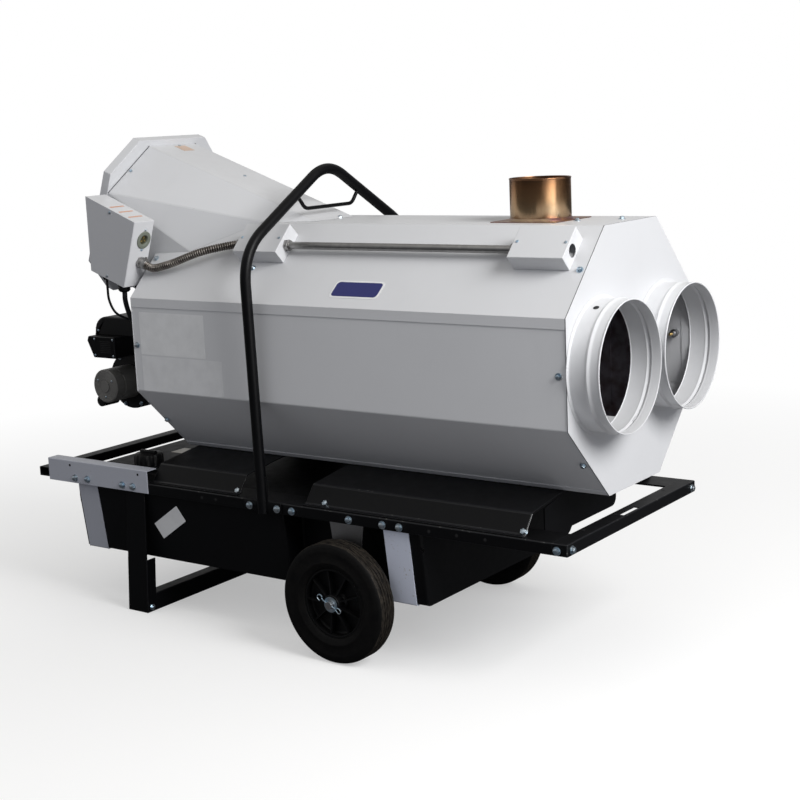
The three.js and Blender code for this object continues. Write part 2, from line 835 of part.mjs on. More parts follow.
// A point on the box's inclined front face, so far down from its top edge.
function onBoxFront(drop) {
  const [, , low, top] = boxCorners();
  const t = drop / Math.hypot(low[0] - top[0], low[1] - top[1]);
  return [top[0] + (low[0] - top[0]) * t, top[1] + (low[1] - top[1]) * t];
}

const boxFrontTurn = Math.atan2(
  boxCorners()[3][0] - boxCorners()[2][0], boxCorners()[3][1] - boxCorners()[2][1]);

// A rod or pipe that stands on the box's front face, pointing out along its normal.
function onBoxFace(geometry, drop, out) {
  const [x, z] = onBoxFront(drop);
  return geometry.rotateY(boxFrontTurn).translate(x, boxOuterY + out, z);
}

function controlBox() {
  const outline = boxCorners();
  const shell = alongY(outline, boxOuterY + lidThickness + gap, boxInnerY);
  const hollow = alongY(inset(outline, boxSheet), boxOuterY - 5, boxInnerY - boxSheet);
  const socketHole = onBoxFace(rod('x', 17, -10, 10, 24, 0, 0, 0), boxSocket.drop, boxSocket.out);
  const wireHole = onBoxFace(rod('x', flexBore, -10, 10, 12, 0, 0, 0), boxConnector.drop, boxConnector.out);
  const { x, z, length, height } = boxPad;
  const pad = box(
    x - length / 2, x + length / 2, boxInnerY - boxSheet / 2, boxPadReach(),
    z - height / 2, z + height / 2);
  return join(cut(shell, hollow, socketHole, wireHole), pad);
}

function controlBoxLid() {
  const outline = boxCorners();
  const plate = alongY(outline, boxOuterY, boxOuterY + lidThickness);
  const inside = inset(outline, boxSheet + gap);
  const lip = alongY(
    inside, boxOuterY + lidThickness - 0.5, boxOuterY + lidLip, [inset(inside, boxSheet)]);
  return join(plate, lip);
}

function thermostatSocket() {
  const outer = 25;
  const plate = rod('x', outer, gap, 3, 24, 0, 0, 0);
  const barrel = rod('x', 16, -24, 1, 24, 0, 0, 0);
  const well = rod('x', 13, -18, 10, 20, 0, 0, 0);
  return onBoxFace(cut(join(plate, barrel), well), boxSocket.drop, boxSocket.out);
}

// A hexagonal conduit connector that stands on the box's front face.
function boxConduitConnector() {
  const nut = pipe('x', flexBore, locknutRadius, gap, locknutLength, 6, 0, 0, 0);
  const sleeve = pipe('x', flexBore, flexRadius + 3, locknutLength - 1, 26, 16, 0, 0, 0);
  return onBoxFace(join(nut, sleeve), boxConnector.drop, boxConnector.out);
}

// ---------------------------------------------------------------- junction boxes and conduit

function slantOutline(up, low, inner, outer) {
  return [onSlant(up, inner), onSlant(low, inner), onSlant(low, outer), onSlant(up, outer)];
}

function junctionBox(x0, openEnd) {
  const shell = alongX(
    slantOutline(junctionLow - junctionUp, junctionLow, gap, junctionHeight), x0, x0 + junctionLength);
  const hollow = alongX(
    slantOutline(
      junctionLow - junctionUp + junctionSheet, junctionLow - junctionSheet, -5,
      junctionHeight - junctionSheet),
    x0 + junctionSheet, x0 + junctionLength - junctionSheet);
  const [y, z] = onSlant(conduitPlace, conduitLift);
  const pipeHole = (x) => rod('x', conduitRadius + gap, x - 10, x + 10, 24, 0, y, z);
  const open = rod('x', knockout, -10, 10, 24, x0 + junctionLength, y, z);
  const holes = openEnd ? [pipeHole(x0), open] : [pipeHole(x0), pipeHole(x0 + junctionLength)];
  return cut(shell, hollow, ...holes);
}

function conduitTube() {
  const [y, z] = onSlant(conduitPlace, conduitLift);
  const x0 = junctionRearX + junctionLength - 12;
  const x1 = junctionFrontX + 12;
  const tube = pipe('x', conduitRadius - 1.5, conduitRadius, x0, x1, 20, 0, y, z);
  const nut = (from, to, x) =>
    pipe('x', conduitRadius - 0.7, locknutRadius, from, to, 8, x, y, z);
  return join(
    tube, nut(gap, locknutLength, junctionRearX + junctionLength),
    nut(-locknutLength, -gap, junctionFrontX));
}

// The flexible conduit: a ribbed tube with a bore that sags from the box to the rear junction box.
function flexRoute() {
  const [bx, bz] = onBoxFront(boxConnector.drop);
  const start = new THREE.Vector3(bx, boxOuterY + boxConnector.out, bz);
  const out = new THREE.Vector3(Math.cos(boxFrontTurn), 0, -Math.sin(boxFrontTurn));
  const [y, z] = onSlant(conduitPlace, conduitLift);
  const end = new THREE.Vector3(junctionRearX - gap, y, z);
  const lead = 26 + gap;
  const p0 = start.clone().addScaledVector(out, lead);
  const p1 = start.clone().addScaledVector(out, lead + 2 * flexRadius);
  const p4 = end.clone().add(new THREE.Vector3(-2 * flexRadius, 0, 0));
  const p2 = new THREE.Vector3(junctionRearX - 219, ...onSlant(169.3, 25.3));
  const p3 = new THREE.Vector3(junctionRearX - 117, ...onSlant(124.1, 36.6));
  return new THREE.CatmullRomCurve3([p0, p1, p2, p3, p4, end], false, 'centripetal');
}

function ribbedTube(route, outer, depth, pitch, bore, plain) {
  const length = route.getLength();
  const ribs = Math.round((length - 2 * plain) / pitch);
  const places = [0, plain];
  const radii = [outer - depth, outer - depth];
  for (let i = 0; i < ribs; i++) {
    places.push(plain + (i + 0.3) * (length - 2 * plain) / ribs);
    radii.push(outer);
    places.push(plain + (i + 0.8) * (length - 2 * plain) / ribs);
    radii.push(outer - depth);
  }
  places.push(length);
  radii.push(outer - depth);
  const ring = (s, r) => {
    const t = s / length;
    const centre = route.getPointAt(t);
    const tangent = route.getTangentAt(t);
    const side = new THREE.Vector3(0, 0, 1).cross(tangent).normalize();
    const up = tangent.clone().cross(side);
    return Array.from({ length: 8 }, (_, i) => {
      const turn = (i + 0.5) / 8 * 2 * Math.PI;
      return centre.clone().addScaledVector(side, r * Math.cos(turn))
        .addScaledVector(up, r * Math.sin(turn));
    });
  };
  const skin = places.map((s, i) => ring(s, radii[i]));
  const core = places.filter((_, i) => i % 10 === 0 || i === places.length - 1)
    .map((s) => ring(s, bore)).reverse();
  return closedLoop([...skin, ...core]);
}

// Rings joined one to the next, the last one back to the first, as a pipe's skin and bore.
function closedLoop(rings) {
  const n = rings[0].length;
  const triangles = [];
  rings.forEach((ring, r) => {
    const next = rings[(r + 1) % rings.length];
    for (let i = 0; i < n; i++) {
      const j = (i + 1) % n;
      triangles.push(ring[i], ring[j], next[j], ring[i], next[j], next[i]);
    }
  });
  return new THREE.BufferGeometry().setFromPoints(triangles);
}

// ---------------------------------------------------------------- cables on the control box

function boxUnderside(share) {
  const [, rearLow, frontLow] = boxCorners();
  return [
    rearLow[0] + (frontLow[0] - rearLow[0]) * share,
    rearLow[1] + (frontLow[1] - rearLow[1]) * share];
}

function cableGland(share, y, radius, length) {
  const [x, z] = boxUnderside(share);
  const slope = radius * Math.tan(hoodTilt * degrees) + gap;
  return rod('z', radius, -length - slope, -slope, 12, x, y, z);
}

function cable(points, radius) {
  const curve = new THREE.CatmullRomCurve3(
    points.map(([x, y, z]) => new THREE.Vector3(x, y, z)), false, 'centripetal');
  return swept(curve, circle(radius, 8), 36);
}

const smallGland = { share: 0.2, y: -285, radius: 10, length: 16 };
const largeGland = { share: 0.7, y: -280, radius: 17, length: 24 };

function glandFoot({ share, y, radius, length }) {
  const [x, z] = boxUnderside(share);
  return [x, y, z - length - radius * Math.tan(hoodTilt * degrees) - 2 * gap];
}

function controlCable() {
  const start = glandFoot(smallGland);
  const [x, , z] = start;
  return cable([
    start, [x, -285, z - 20], [x + 4, -270, z - 70], [x + 22, -240, z - 108],
    [x + 30, -195, z - 125], [x + 8, -158, z - 140], [x, -136, z - 148],
    [x, burnerCoverNear - 2 * gap, z - 148]], 3.5);
}

function supplyCable() {
  const start = glandFoot(largeGland);
  const [x, , z] = start;
  return cable([
    start, [x, -280, z - 24], [x - 4, -262, z - 70], [x - 14, -225, z - 115],
    [x - 40, -180, z - 142], [x - 75, -145, z - 152],
    [x - 75, burnerCoverNear - 2 * gap, z - 152]], 7);
}

// ---------------------------------------------------------------- burner

const scrollNear = burnerMotorFace + burnerMotorLength + gap;
const scrollFar = scrollNear + scrollWidth;
const burnerCoverNear = -112;
const burnerCoverFar = 70;

function burnerMotor() {
  const can = rod('y', burnerMotorRadius, 0, burnerMotorLength, 28, burnerMotorX, burnerMotorFace, burnerMotorZ);
  const cap = rod('y', burnerMotorRadius * 0.36, -3, 2, 20, burnerMotorX, burnerMotorFace, burnerMotorZ);
  const capacitor = rod('y', 17, 20, 84, 14, burnerMotorX - 46, burnerMotorFace, burnerMotorZ - 52);
  const clamp = box(
    burnerMotorX - 52, burnerMotorX - 22, burnerMotorFace + 44, burnerMotorFace + 58,
    burnerMotorZ - 56, burnerMotorZ - 22);
  const bore = rod(
    'y', burnerShaftRadius + shaftClearance, burnerMotorLength - shaftDepth - 1,
    burnerMotorLength + 1, 12, burnerMotorX, burnerMotorFace, burnerMotorZ);
  return cut(join(can, cap, capacitor, clamp), bore);
}

// The scroll is a drum round the fan wheel with a duct that leads forward to the blast tube.
function burnerScroll() {
  const drum = rod('y', scrollRadius, scrollNear, scrollFar, 32, burnerMotorX, 0, burnerMotorZ);
  const duct = box(
    burnerMotorX, ductFront, scrollNear, scrollFar, burnerMotorZ - 30,
    burnerMotorZ + scrollRadius);
  const hollow = rod(
    'y', scrollRadius - 4, scrollNear + 4, scrollFar - 4, 32, burnerMotorX, 0, burnerMotorZ);
  const ductHollow = box(
    burnerMotorX, ductFront + 5, scrollNear + 4, scrollFar - 4, burnerMotorZ - 26,
    burnerMotorZ + scrollRadius - 4);
  const shaftHole = rod('y', 14, scrollNear - 5, scrollNear + 8, 16, burnerMotorX, 0, burnerMotorZ);
  return cut(join(drum, duct), hollow, ductHollow, shaftHole);
}

function burnerImpeller() {
  const near = scrollNear + 14;
  const far = near + 62;
  const y = (a, b, r0, r1) => pipe('y', r0, r1, a, b, 28, burnerMotorX, 0, burnerMotorZ);
  const plate = rod('y', 66, far - 4, far, 28, burnerMotorX, 0, burnerMotorZ);
  const hub = rod('y', 16, far - 30, far, 16, burnerMotorX, 0, burnerMotorZ);
  const shaftStart = burnerMotorFace + burnerMotorLength - shaftDepth;
  const shaft = rod('y', burnerShaftRadius, shaftStart, far, 12, burnerMotorX, 0, burnerMotorZ);
  const rim = y(near, near + 4, 50, 66);
  const vanes = Array.from({ length: 12 }, (_, i) => {
    const vane = box(54, 66, near, far, -1.5, 1.5);
    return vane.rotateY(i / 12 * 2 * Math.PI).translate(burnerMotorX, 0, burnerMotorZ);
  });
  return join(plate, hub, shaft, rim, ...vanes);
}

// A flange on the scroll's duct, and the tube that reaches through the rear panel.
function blastTube() {
  const start = ductFront + gap;
  const flange = box(
    start, start + 8, scrollNear, scrollFar, blastTubeHeight - 62, blastTubeHeight + 62);
  const tube = rod('x', blastTubeRadius, start, chamberRear + 40, 32, 0, burnerY, blastTubeHeight);
  const bore = rod(
    'x', blastTubeRadius - 3, start - 1, chamberRear + 41, 32, 0, burnerY, blastTubeHeight);
  return cut(join(flange, tube), bore);
}

// The rounded hood over the burner's controls.
function burnerCover() {
  const [back, nose, low, high] = [burnerCoverBack, burnerCoverNose, burnerCoverLow, burnerCoverHigh];
  const bend = 46;
  const arc = Array.from({ length: 7 }, (_, i) => {
    const turn = Math.PI - i / 6 * Math.PI / 2;
    return [back + bend + bend * Math.cos(turn), high - bend + bend * Math.sin(turn)];
  });
  const outline = [[nose, low], [nose, high], ...arc.reverse(), [back, low]];
  const shell = alongY(outline, burnerCoverNear, burnerCoverFar);
  const hollow = alongY(
    [[nose - 3, low - 5], [nose - 3, high - 3],
      ...arc.map(([x, z]) => [x + (x < back + bend ? 2.5 : 0), z - 3]), [back + 3, low - 5]],
    burnerCoverNear + 3, burnerCoverFar - 3);
  return cut(shell, hollow);
}

// The ignition and control housing that the cover sits on.
function ignitionBox() {
  const low = burnerMotorZ + scrollRadius + gap;
  const high = burnerCoverLow - gap;
  const outline = [
    [burnerCoverBack + 26, low], [ignitionFront, low], [ignitionFront, high],
    [burnerCoverBack + 8, high], [burnerCoverBack + 2, high - 14]];
  const body = alongY(outline, ignitionNear, ignitionFar);
  const well = rod(
    'x', buttonRadius + gap, -20, 12, 20, burnerCoverBack + 14, buttonY, high - 28);
  return cut(body, well);
}

function resetButton() {
  const high = burnerCoverLow - gap;
  const tip = burnerCoverBack + 14 - 13;
  return rod('x', buttonRadius, 0, 16, 16, tip, buttonY, high - 28);
}

function fuelPump() {
  const y0 = scrollFar + gap;
  const body = rod('y', 30, y0, y0 + 42, 16, burnerMotorX, 0, burnerMotorZ);
  const port = rod('z', 8, 20, 42, 8, burnerMotorX, y0 + 24, burnerMotorZ);
  return join(body, port);
}

// ---------------------------------------------------------------- frame

const railInner = frameHalfWidth - railThickness;
const frontBarRear = front - frontBarWidth;

// An angle with its flange turned inwards; the web is shortened where the front bar laps it.
function leftRail() {
  const path = [
    [-frameHalfWidth, railTop - railHeight], [-frameHalfWidth, railTop],
    [-frameHalfWidth + railFlange, railTop]];
  const outline = folded(path, -railThickness);
  return alongX(outline, railRearX + gap, frontBarRear - gap);
}

// A channel turned down at the front and at both ends, with a slot in its top.
function frontCrossbar() {
  const low = railTop - railHeight;
  const outside = box(frontBarRear, front, -frameHalfWidth, frameHalfWidth, low, railTop);
  const inside = box(
    frontBarRear - 1, front - railThickness, -railInner, railInner, low - 1,
    railTop - railThickness);
  const slot = box(
    front - slotEdge - slotWidth, front - slotEdge, slotY - slotLength / 2,
    slotY + slotLength / 2, railTop - 10, railTop + 10);
  return cut(outside, inside, slot);
}

function rearCrossbar() {
  const height = 27;
  const low = railTop + 7 - height;
  const outline = rectangle(crossbarRearX, crossbarRearX + crossbarWidth, low, low + height);
  return alongY(outline, -frameHalfWidth - 3, frameHalfWidth + 3, [inset(outline, 3)]);
}

// The pale angle bolted outside the rail's rear end.
function leftRailExtension() {
  const y = -frameHalfWidth - gap - extensionThickness;
  const path = [
    [y, extensionTop - extensionHeight], [y, extensionTop], [y + extensionFlange, extensionTop]];
  return alongX(
    folded(path, -extensionThickness), crossbarRearX + crossbarWidth + gap, extensionFrontX);
}

// ---------------------------------------------------------------- decks

const deckTop = cabinetBottom - gap;

function deckSection() {
  const half = [
    [deckFootHalf + 12, railTop + gap], [deckFootHalf - 2, railTop + gap],
    [deckKneeHalf, deckKneeZ - deckThickness],
    [deckShoulderHalf, deckTop - 4 - deckThickness],
    [topHalfWidth, deckTop - deckThickness],
  ];
  const right = half.map(([y, z]) => [y, z]).reverse();
  return folded([...half.map(([y, z]) => [-y, z]), ...right], deckThickness);
}

function rearDeck() {
  return alongX(deckSection(), rearDeckRear, rearDeckFront);
}

// The front deck ends in an apron with rounded lower corners.
function frontDeck() {
  const deck = alongX(deckSection(), frontDeckRear, frontDeckFront);
  const bend = 22;
  const low = deckTop - deckApron;
  const corner = (side) => Array.from({ length: 5 }, (_, i) => {
    const turn = i / 4 * Math.PI / 2;
    return [
      side * (deckApronHalf - bend + bend * Math.sin(turn)), low + bend - bend * Math.cos(turn)];
  });
  const outline = [
    ...corner(1), [deckApronHalf, deckTop - 1], [-deckApronHalf, deckTop - 1],
    ...corner(-1).reverse()];
  return join(deck, alongX(outline, frontDeckFront - deckThickness, frontDeckFront));
}

// ---------------------------------------------------------------- lifting hoop

// A round bar of straight runs and round bends that lies in a plane square to X.
function bentBar(points, bends, radius, sides) {
  const bendSteps = 7;
  const middle = [points[0]];
  points.slice(1, -1).forEach((corner, i) => {
    const before = corner.clone().lerp(points[i], bends[i] / corner.distanceTo(points[i]));
    const after = corner.clone().lerp(points[i + 2], bends[i] / corner.distanceTo(points[i + 2]));
    const bend = new THREE.QuadraticBezierCurve3(before, corner, after);
    middle.push(...bend.getPoints(bendSteps));
  });
  middle.push(points.at(-1));
  const across = new THREE.Vector3(1, 0, 0);
  return loft(middle.map((point, i) => {
    const before = middle[Math.max(i - 1, 0)];
    const after = middle[Math.min(i + 1, middle.length - 1)];
    const up = after.clone().sub(before).normalize().cross(across);
    return circle(radius, sides).map(([a, b]) =>
      point.clone().addScaledVector(across, a).addScaledVector(up, b));
  }));
}

function liftingHoop() {
  const at = (y, z) => new THREE.Vector3(hoopX, y, z);
  const tube = bentBar([
    at(-hoopFootHalf, hoopFootZ), at(-hoopKneeHalf, hoopKneeZ), at(0, hoopPeak + 26),
    at(hoopKneeHalf, hoopKneeZ), at(hoopFootHalf, hoopFootZ)],
  [hoopKneeBend, hoopPeakBend, hoopKneeBend], hoopRadius, 12);
  const bar = bentBar([
    at(-eyeBarHalf - 33, eyeBarZ + 34), at(-eyeBarHalf - 4, eyeBarZ),
    at(eyeBarHalf + 4, eyeBarZ), at(eyeBarHalf + 33, eyeBarZ + 34)], [14, 14], eyeBarRadius, 8);
  const feet = [-1, 1].map((side) => {
    const y = side * (frameHalfWidth + gap);
    const out = side * (frameHalfWidth + gap + hoopStripThickness);
    const plate = box(
      hoopX - hoopPlateHalf, hoopX + hoopPlateHalf, Math.min(y, out), Math.max(y, out),
      railTop - railHeight + 1, railTop);
    const strip = box(
      hoopX + hoopRadius - 4, hoopX + hoopRadius + 4, Math.min(y, out), Math.max(y, out),
      railTop - 4, railTop + 66);
    return join(plate, strip);
  });
  const railRoom = box(
    hoopX - 100, hoopX + 100, -frameHalfWidth - gap, frameHalfWidth + gap, 0, railTop + 30);
  return cut(join(tube, bar, ...feet), railRoom);
}

// ---------------------------------------------------------------- fuel tank

const tankLid = railTop - railThickness - gap;

function tankSection(narrower) {
  return [
    [-tankBottomHalf + narrower, tankBottom], [tankBottomHalf - narrower, tankBottom],
    [tankTopHalf - narrower, tankLid], [-tankTopHalf + narrower, tankLid]];
}

// A moulded tank with recesses for the wheels and the axle, and a raised filler.
function fuelTank() {
  const round = 14;
  const plan = (x0, x1) => {
    const half = tankTopHalf + 5;
    return [
      [x0 + round, -half], [x1 - round, -half], [x1, -half + round + 5], [x1, half - round - 5],
      [x1 - round, half], [x0 + round, half], [x0, half - round - 5], [x0, -half + round + 5]];
  };
  const block = alongX(tankSection(0), tankRearX, tankFrontX);
  const corners = alongZ(plan(tankRearX, tankFrontX), tankBottom - 5, tankLid + 5);
  const body = surface(solid(block).intersect(solid(corners)));
  const raised = alongZ(
    rectangle(tankRearX + 30, rearDeckRear - 6, -railInner + railFlange + 6, railInner - railFlange - 6),
    tankLid - 1, fillerSeat);
  const filler = rod('z', fillerRadius, fillerSeat - 2, fillerSeat + neckHeight, 24, capX, capY, 0);
  const hollow = alongX([
    [-tankBottomHalf + recessDepth + tankWall, tankBottom + tankWall],
    [tankBottomHalf - recessDepth - tankWall, tankBottom + tankWall],
    [tankBottomHalf - recessDepth - tankWall, tankLid - tankWall],
    [-tankBottomHalf + recessDepth + tankWall, tankLid - tankWall]],
  tankRearX + tankWall, tankFrontX - tankWall);
  const bore = rod(
    'z', fillerRadius - fillerWall, tankBottom + tankWall + 1, fillerSeat + neckHeight + 1, 24,
    capX, capY, 0);
  const recess = (side) => {
    const y = side * (tankBottomHalf - recessDepth);
    return box(
      recessRearX, recessFrontX, Math.min(y, side * 400), Math.max(y, side * 400),
      tankBottom - 5, tankLid + 1);
  };
  const groove = box(
    wheelX - axleGroove / 2, wheelX + axleGroove / 2, -400, 400, tankBottom - 5,
    wheelRadius + axleRadius + 6);
  const grooveRidge = box(
    wheelX - axleGroove / 2 - tankWall, wheelX + axleGroove / 2 + tankWall, -400, 400,
    tankBottom - 5, wheelRadius + axleRadius + 6 + tankWall);
  const inside = surface(solid(hollow).subtract(solid(grooveRidge)));
  return cut(join(body, raised, filler), inside, bore, recess(-1), recess(1), groove);
}

function tankCap() {
  const low = fillerSeat + gap;
  const high = low + capHeight;
  const outer = [];
  const lobes = 12;
  for (let i = 0; i < lobes * 2; i++) {
    const turn = i / (lobes * 2) * 2 * Math.PI;
    const r = capRadius - (i % 2 ? 3 : 0);
    outer.push([capX + r * Math.cos(turn), capY + r * Math.sin(turn)]);
  }
  const well = rod(
    'z', fillerRadius + gap, low - 1, fillerSeat + neckHeight + gap, 24, capX, capY, 0);
  const grip = box(capX - 30, capX + 30, capY - 6, capY + 6, high - 1, high + 8);
  return cut(join(alongZ(outer, low, high), grip), well);
}

// The fitting on the tank's top from which the fuel lines rise to the burner.
function fuelManifold() {
  const z0 = fillerSeat + gap;
  const block = box(manifoldX - 22, manifoldX + 22, manifoldNear, manifoldFar, z0, z0 + 14);
  const ports = [manifoldNear + 22, manifoldFar - 22].map((y) =>
    rod('z', 8, z0 + 10, z0 + 24, 10, manifoldX, y, 0));
  return join(block, ...ports);
}

// A strap hangs from one rail, passes under the tank and rises to the other.
function tankStrap(x) {
  const [low, high] = [tankBottom - gap, railTop - railThickness - gap];
  const slope = (tankTopHalf - tankBottomHalf) / (tankLid - tankBottom);
  const at = (z) => tankBottomHalf + gap + slope * (z - tankBottom);
  const path = [
    [-at(high), high], [-at(low), low], [at(low), low], [at(high), high]];
  return alongX(folded(path, -strapThickness), x - strapWidth / 2, x + strapWidth / 2);
}

// ---------------------------------------------------------------- wheels and stand

const wheelMiddle = wheelOuterY - wheelWidth / 2;

function tyre(side) {
  const w = wheelWidth / 2;
  const r = wheelRadius;
  const half = [
    [rimRadius + gap, -w * 0.72], [rimRadius + 8, -w * 0.9], [r - 26, -w], [r - 8, -w * 0.9],
    [r, -w * 0.66], [r, -w * 0.44], [r - 3, -w * 0.4], [r - 3, -w * 0.24], [r, -w * 0.2]];
  const profile = [...half, ...half.map(([a, b]) => [a, -b]).reverse()];
  return turnedAlong('y', profile, 32, wheelX, side * wheelMiddle, wheelRadius);
}

function rim(side) {
  const w = wheelWidth / 2;
  const ring = pipe('y', rimRadius - rimWall, rimRadius, -w * 0.72, w * 0.72, 32, 0, 0, 0);
  const web = rod('y', rimRadius - 1, -2.5, 2.5, 32, 0, 0, 0);
  const hub = rod('y', hubRadius, -hubWidth / 2, hubWidth / 2, 18, 0, 0, 0);
  const spokes = Array.from({ length: rimSpokes }, (_, i) =>
    box(hubRadius - 4, rimRadius - 1, -w * 0.6, w * 0.6, -2, 2)
      .rotateY((i + 0.5) / rimSpokes * 2 * Math.PI));
  const bore = rod('y', axleRadius + axleClearance, -w - 5, w + 5, 20, 0, 0, 0);
  return cut(join(ring, web, hub, ...spokes), bore)
    .translate(wheelX, side * wheelMiddle, wheelRadius);
}

// A round axle in two plates that hang from the rails inside the wheel recesses.
function axle() {
  const reach = wheelMiddle + hubWidth / 2 + axleEnd;
  const bar = rod('y', axleRadius, -reach, reach, 16, wheelX, 0, wheelRadius);
  const plates = [-1, 1].map((side) => {
    const y0 = side > 0 ? axlePlateHalf : -axlePlateHalf - axlePlateThickness;
    const outline = [
      [wheelX - 22, wheelRadius - 24], [wheelX + 22, wheelRadius - 24],
      [wheelX + 58, tankLid], [wheelX - 58, tankLid]];
    return alongY(outline, y0, y0 + axlePlateThickness);
  });
  return join(bar, ...plates);
}

// Two raked legs and the crossbar between them that stands on the ground.
function stand() {
  const high = railTop - railThickness - gap;
  const outer = standHalf;
  const half = standWidth / 2;
  const lean = (z) => standFootX + (standTopX - standFootX) * z / high;
  const low = tankBottom - 4;
  const legs = [-1, 1].flatMap((side) => {
    const y = (a, b) => [Math.min(side * a, side * b), Math.max(side * a, side * b)];
    const plate = alongY(
      [[lean(0) - half, 0], [lean(0) + half, 0], [lean(high) + half * 0.9, high],
        [lean(high) - half * 0.9, high]],
      ...y(outer, outer - standThickness));
    const edge = (shift) => alongY(
      [[lean(0) + shift, 0], [lean(0) + shift + standThickness, 0],
        [lean(low) + shift + standThickness, low], [lean(low) + shift, low]],
      ...y(outer - 1, outer - standDepth));
    return [plate, edge(-half), edge(half - standThickness)];
  });
  const rearEdge = standFootX + half - standBarDepth;
  const frontEdge = standFootX + half;
  const channel = folded(
    [[rearEdge, standBarHeight], [frontEdge, standBarHeight], [frontEdge, 0], [rearEdge, 0]],
    -standThickness);
  const bar = alongY(channel, -outer + 1, outer - 1);
  return join(...legs, bar);
}

// ---------------------------------------------------------------- assembly

const hoodBore = hoodBody(sheet, -40, hoodLength - 60);

add('upper_cover', upperCover(hoodBore), finish.white);
addPair('side_panel', leftSidePanel(), finish.white);
add('bottom_pan', bottomPan(), finish.white);
add('front_panel', frontPanel(), finish.white);
add('rear_panel', rearPanel(hoodBore), finish.white);
add('outlet_collar_left', outletCollar(-collarSpacing / 2), finish.white);
add('outlet_collar_right', outletCollar(collarSpacing / 2), finish.white);
add('flue_plate', fluePlate(), finish.copper);
add('flue_pipe', fluePipe(), finish.copper);
add('combustion_chamber', combustionChamber(), finish.hotSteel);
add('heat_exchanger', heatExchanger(), finish.hotSteel);
add('core_cradle', coreCradle(cradleX), finish.zincSheet);
add('overheat_sensor', overheatSensor(), finish.brass);

add('fan_hood', fanHood(), finish.white);
add('inlet_flange', inletFlange(), finish.white, fanFrame);
add('fan_guard', fanGuard(), finish.black, fanFrame);
add('fan_impeller', fanImpeller(), finish.aluminium, fanFrame);
add('fan_motor', fanMotor(), finish.black, fanFrame);
add('fan_motor_bracket', fanMotorBracket(), finish.zincSheet, fanFrame);

add('control_box', controlBox(), finish.white);
add('control_box_lid', controlBoxLid(), finish.greyPaint);
add('thermostat_socket', thermostatSocket(), finish.plastic);
add('box_conduit_connector', boxConduitConnector(), finish.steel);
add('junction_box_rear', junctionBox(junctionRearX, false), finish.white);
add('junction_box_front', junctionBox(junctionFrontX, true), finish.white);
add('conduit_tube', conduitTube(), finish.steel);
const flexPlain = 2 * flexRadius;
add('flex_conduit', ribbedTube(
  flexRoute(), flexRadius, flexRibDepth, flexRibPitch, flexBore, flexPlain), finish.steel);
add('cable_gland_small',
  cableGland(smallGland.share, smallGland.y, smallGland.radius, smallGland.length), finish.plastic);
add('cable_gland_large',
  cableGland(largeGland.share, largeGland.y, largeGland.radius, largeGland.length), finish.plastic);
add('control_cable', controlCable(), finish.rubber);
add('supply_cable', supplyCable(), finish.rubber);

add('burner_blast_tube', blastTube(), finish.steel);
add('burner_scroll', burnerScroll(), finish.black);
add('burner_impeller', burnerImpeller(), finish.zincSheet);
add('burner_motor', burnerMotor(), finish.steel);
add('burner_cover', burnerCover(), finish.plastic);
add('ignition_box', ignitionBox(), finish.black);
add('reset_button', resetButton(), finish.red);
add('fuel_pump', fuelPump(), finish.aluminium);

addPair('frame_rail', leftRail(), finish.black);
add('front_crossbar', frontCrossbar(), finish.black);
add('rear_crossbar', rearCrossbar(), finish.black);
addPair('rail_extension', leftRailExtension(), finish.greyPaint);
add('deck_front', frontDeck(), finish.black);
add('deck_rear', rearDeck(), finish.black);
add('lifting_hoop', liftingHoop(), finish.black);

add('fuel_tank', fuelTank(), finish.tank);
add('tank_cap', tankCap(), finish.plastic);
add('fuel_manifold', fuelManifold(), finish.black);
add('tank_strap_front', tankStrap(frontStrapX), finish.greyPaint);
add('tank_strap_rear', tankStrap(rearStrapX), finish.greyPaint);

add('axle', axle(), finish.steel);
for (const [side, name] of [[-1, 'left'], [1, 'right']]) {
  add(`tyre_${name}`, tyre(side), finish.rubber);
  add(`rim_${name}`, rim(side), finish.plastic);
}
add('stand', stand(), finish.black);

heater.position.x = -(crossbarRearX + front + gap + collarLength) / 2;

export default heater;
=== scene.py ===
"""Looks of a mobile forced air heater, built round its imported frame. Metres, +Z up."""

import json
import math

import bmesh
import bpy
from mathutils import Matrix, Vector


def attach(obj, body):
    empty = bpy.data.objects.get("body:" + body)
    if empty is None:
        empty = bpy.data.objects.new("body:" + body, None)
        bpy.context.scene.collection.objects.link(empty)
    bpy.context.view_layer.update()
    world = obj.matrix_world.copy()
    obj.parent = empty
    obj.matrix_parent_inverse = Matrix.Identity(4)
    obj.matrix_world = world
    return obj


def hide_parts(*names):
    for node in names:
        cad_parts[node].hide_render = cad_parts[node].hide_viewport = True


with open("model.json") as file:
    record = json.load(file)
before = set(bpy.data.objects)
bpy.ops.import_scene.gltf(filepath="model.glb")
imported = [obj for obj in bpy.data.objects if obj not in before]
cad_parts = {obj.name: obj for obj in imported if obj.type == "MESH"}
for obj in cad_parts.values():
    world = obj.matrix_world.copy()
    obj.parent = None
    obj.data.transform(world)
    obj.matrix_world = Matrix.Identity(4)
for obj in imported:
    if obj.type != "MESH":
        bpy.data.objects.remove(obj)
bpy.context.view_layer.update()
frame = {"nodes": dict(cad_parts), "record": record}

# Sizes in millimetres, X counted from the cabinet's front panel, as in the part's source.
PANEL_X = 839.85  # the front panel in the part's frame
CABINET_LOW, CABINET_TOP = 449, 1086
SIDE_Y, TOP_Y = 322, 132.5
SIDE_LOW, SIDE_HIGH = 639, 896
COLLAR_Y, COLLAR_Z = 164.5, 768
COLLAR_RADIUS, COLLAR_LENGTH = 154.0, 79.0
FLUE_X, FLUE_TOP = -245, 1190
HOOD_TILT = math.radians(19.8)
HOOD_X, HOOD_Z = -1458.6, 1312.5
HOOD_FORWARD = Vector((math.cos(HOOD_TILT), 0, -math.sin(HOOD_TILT)))
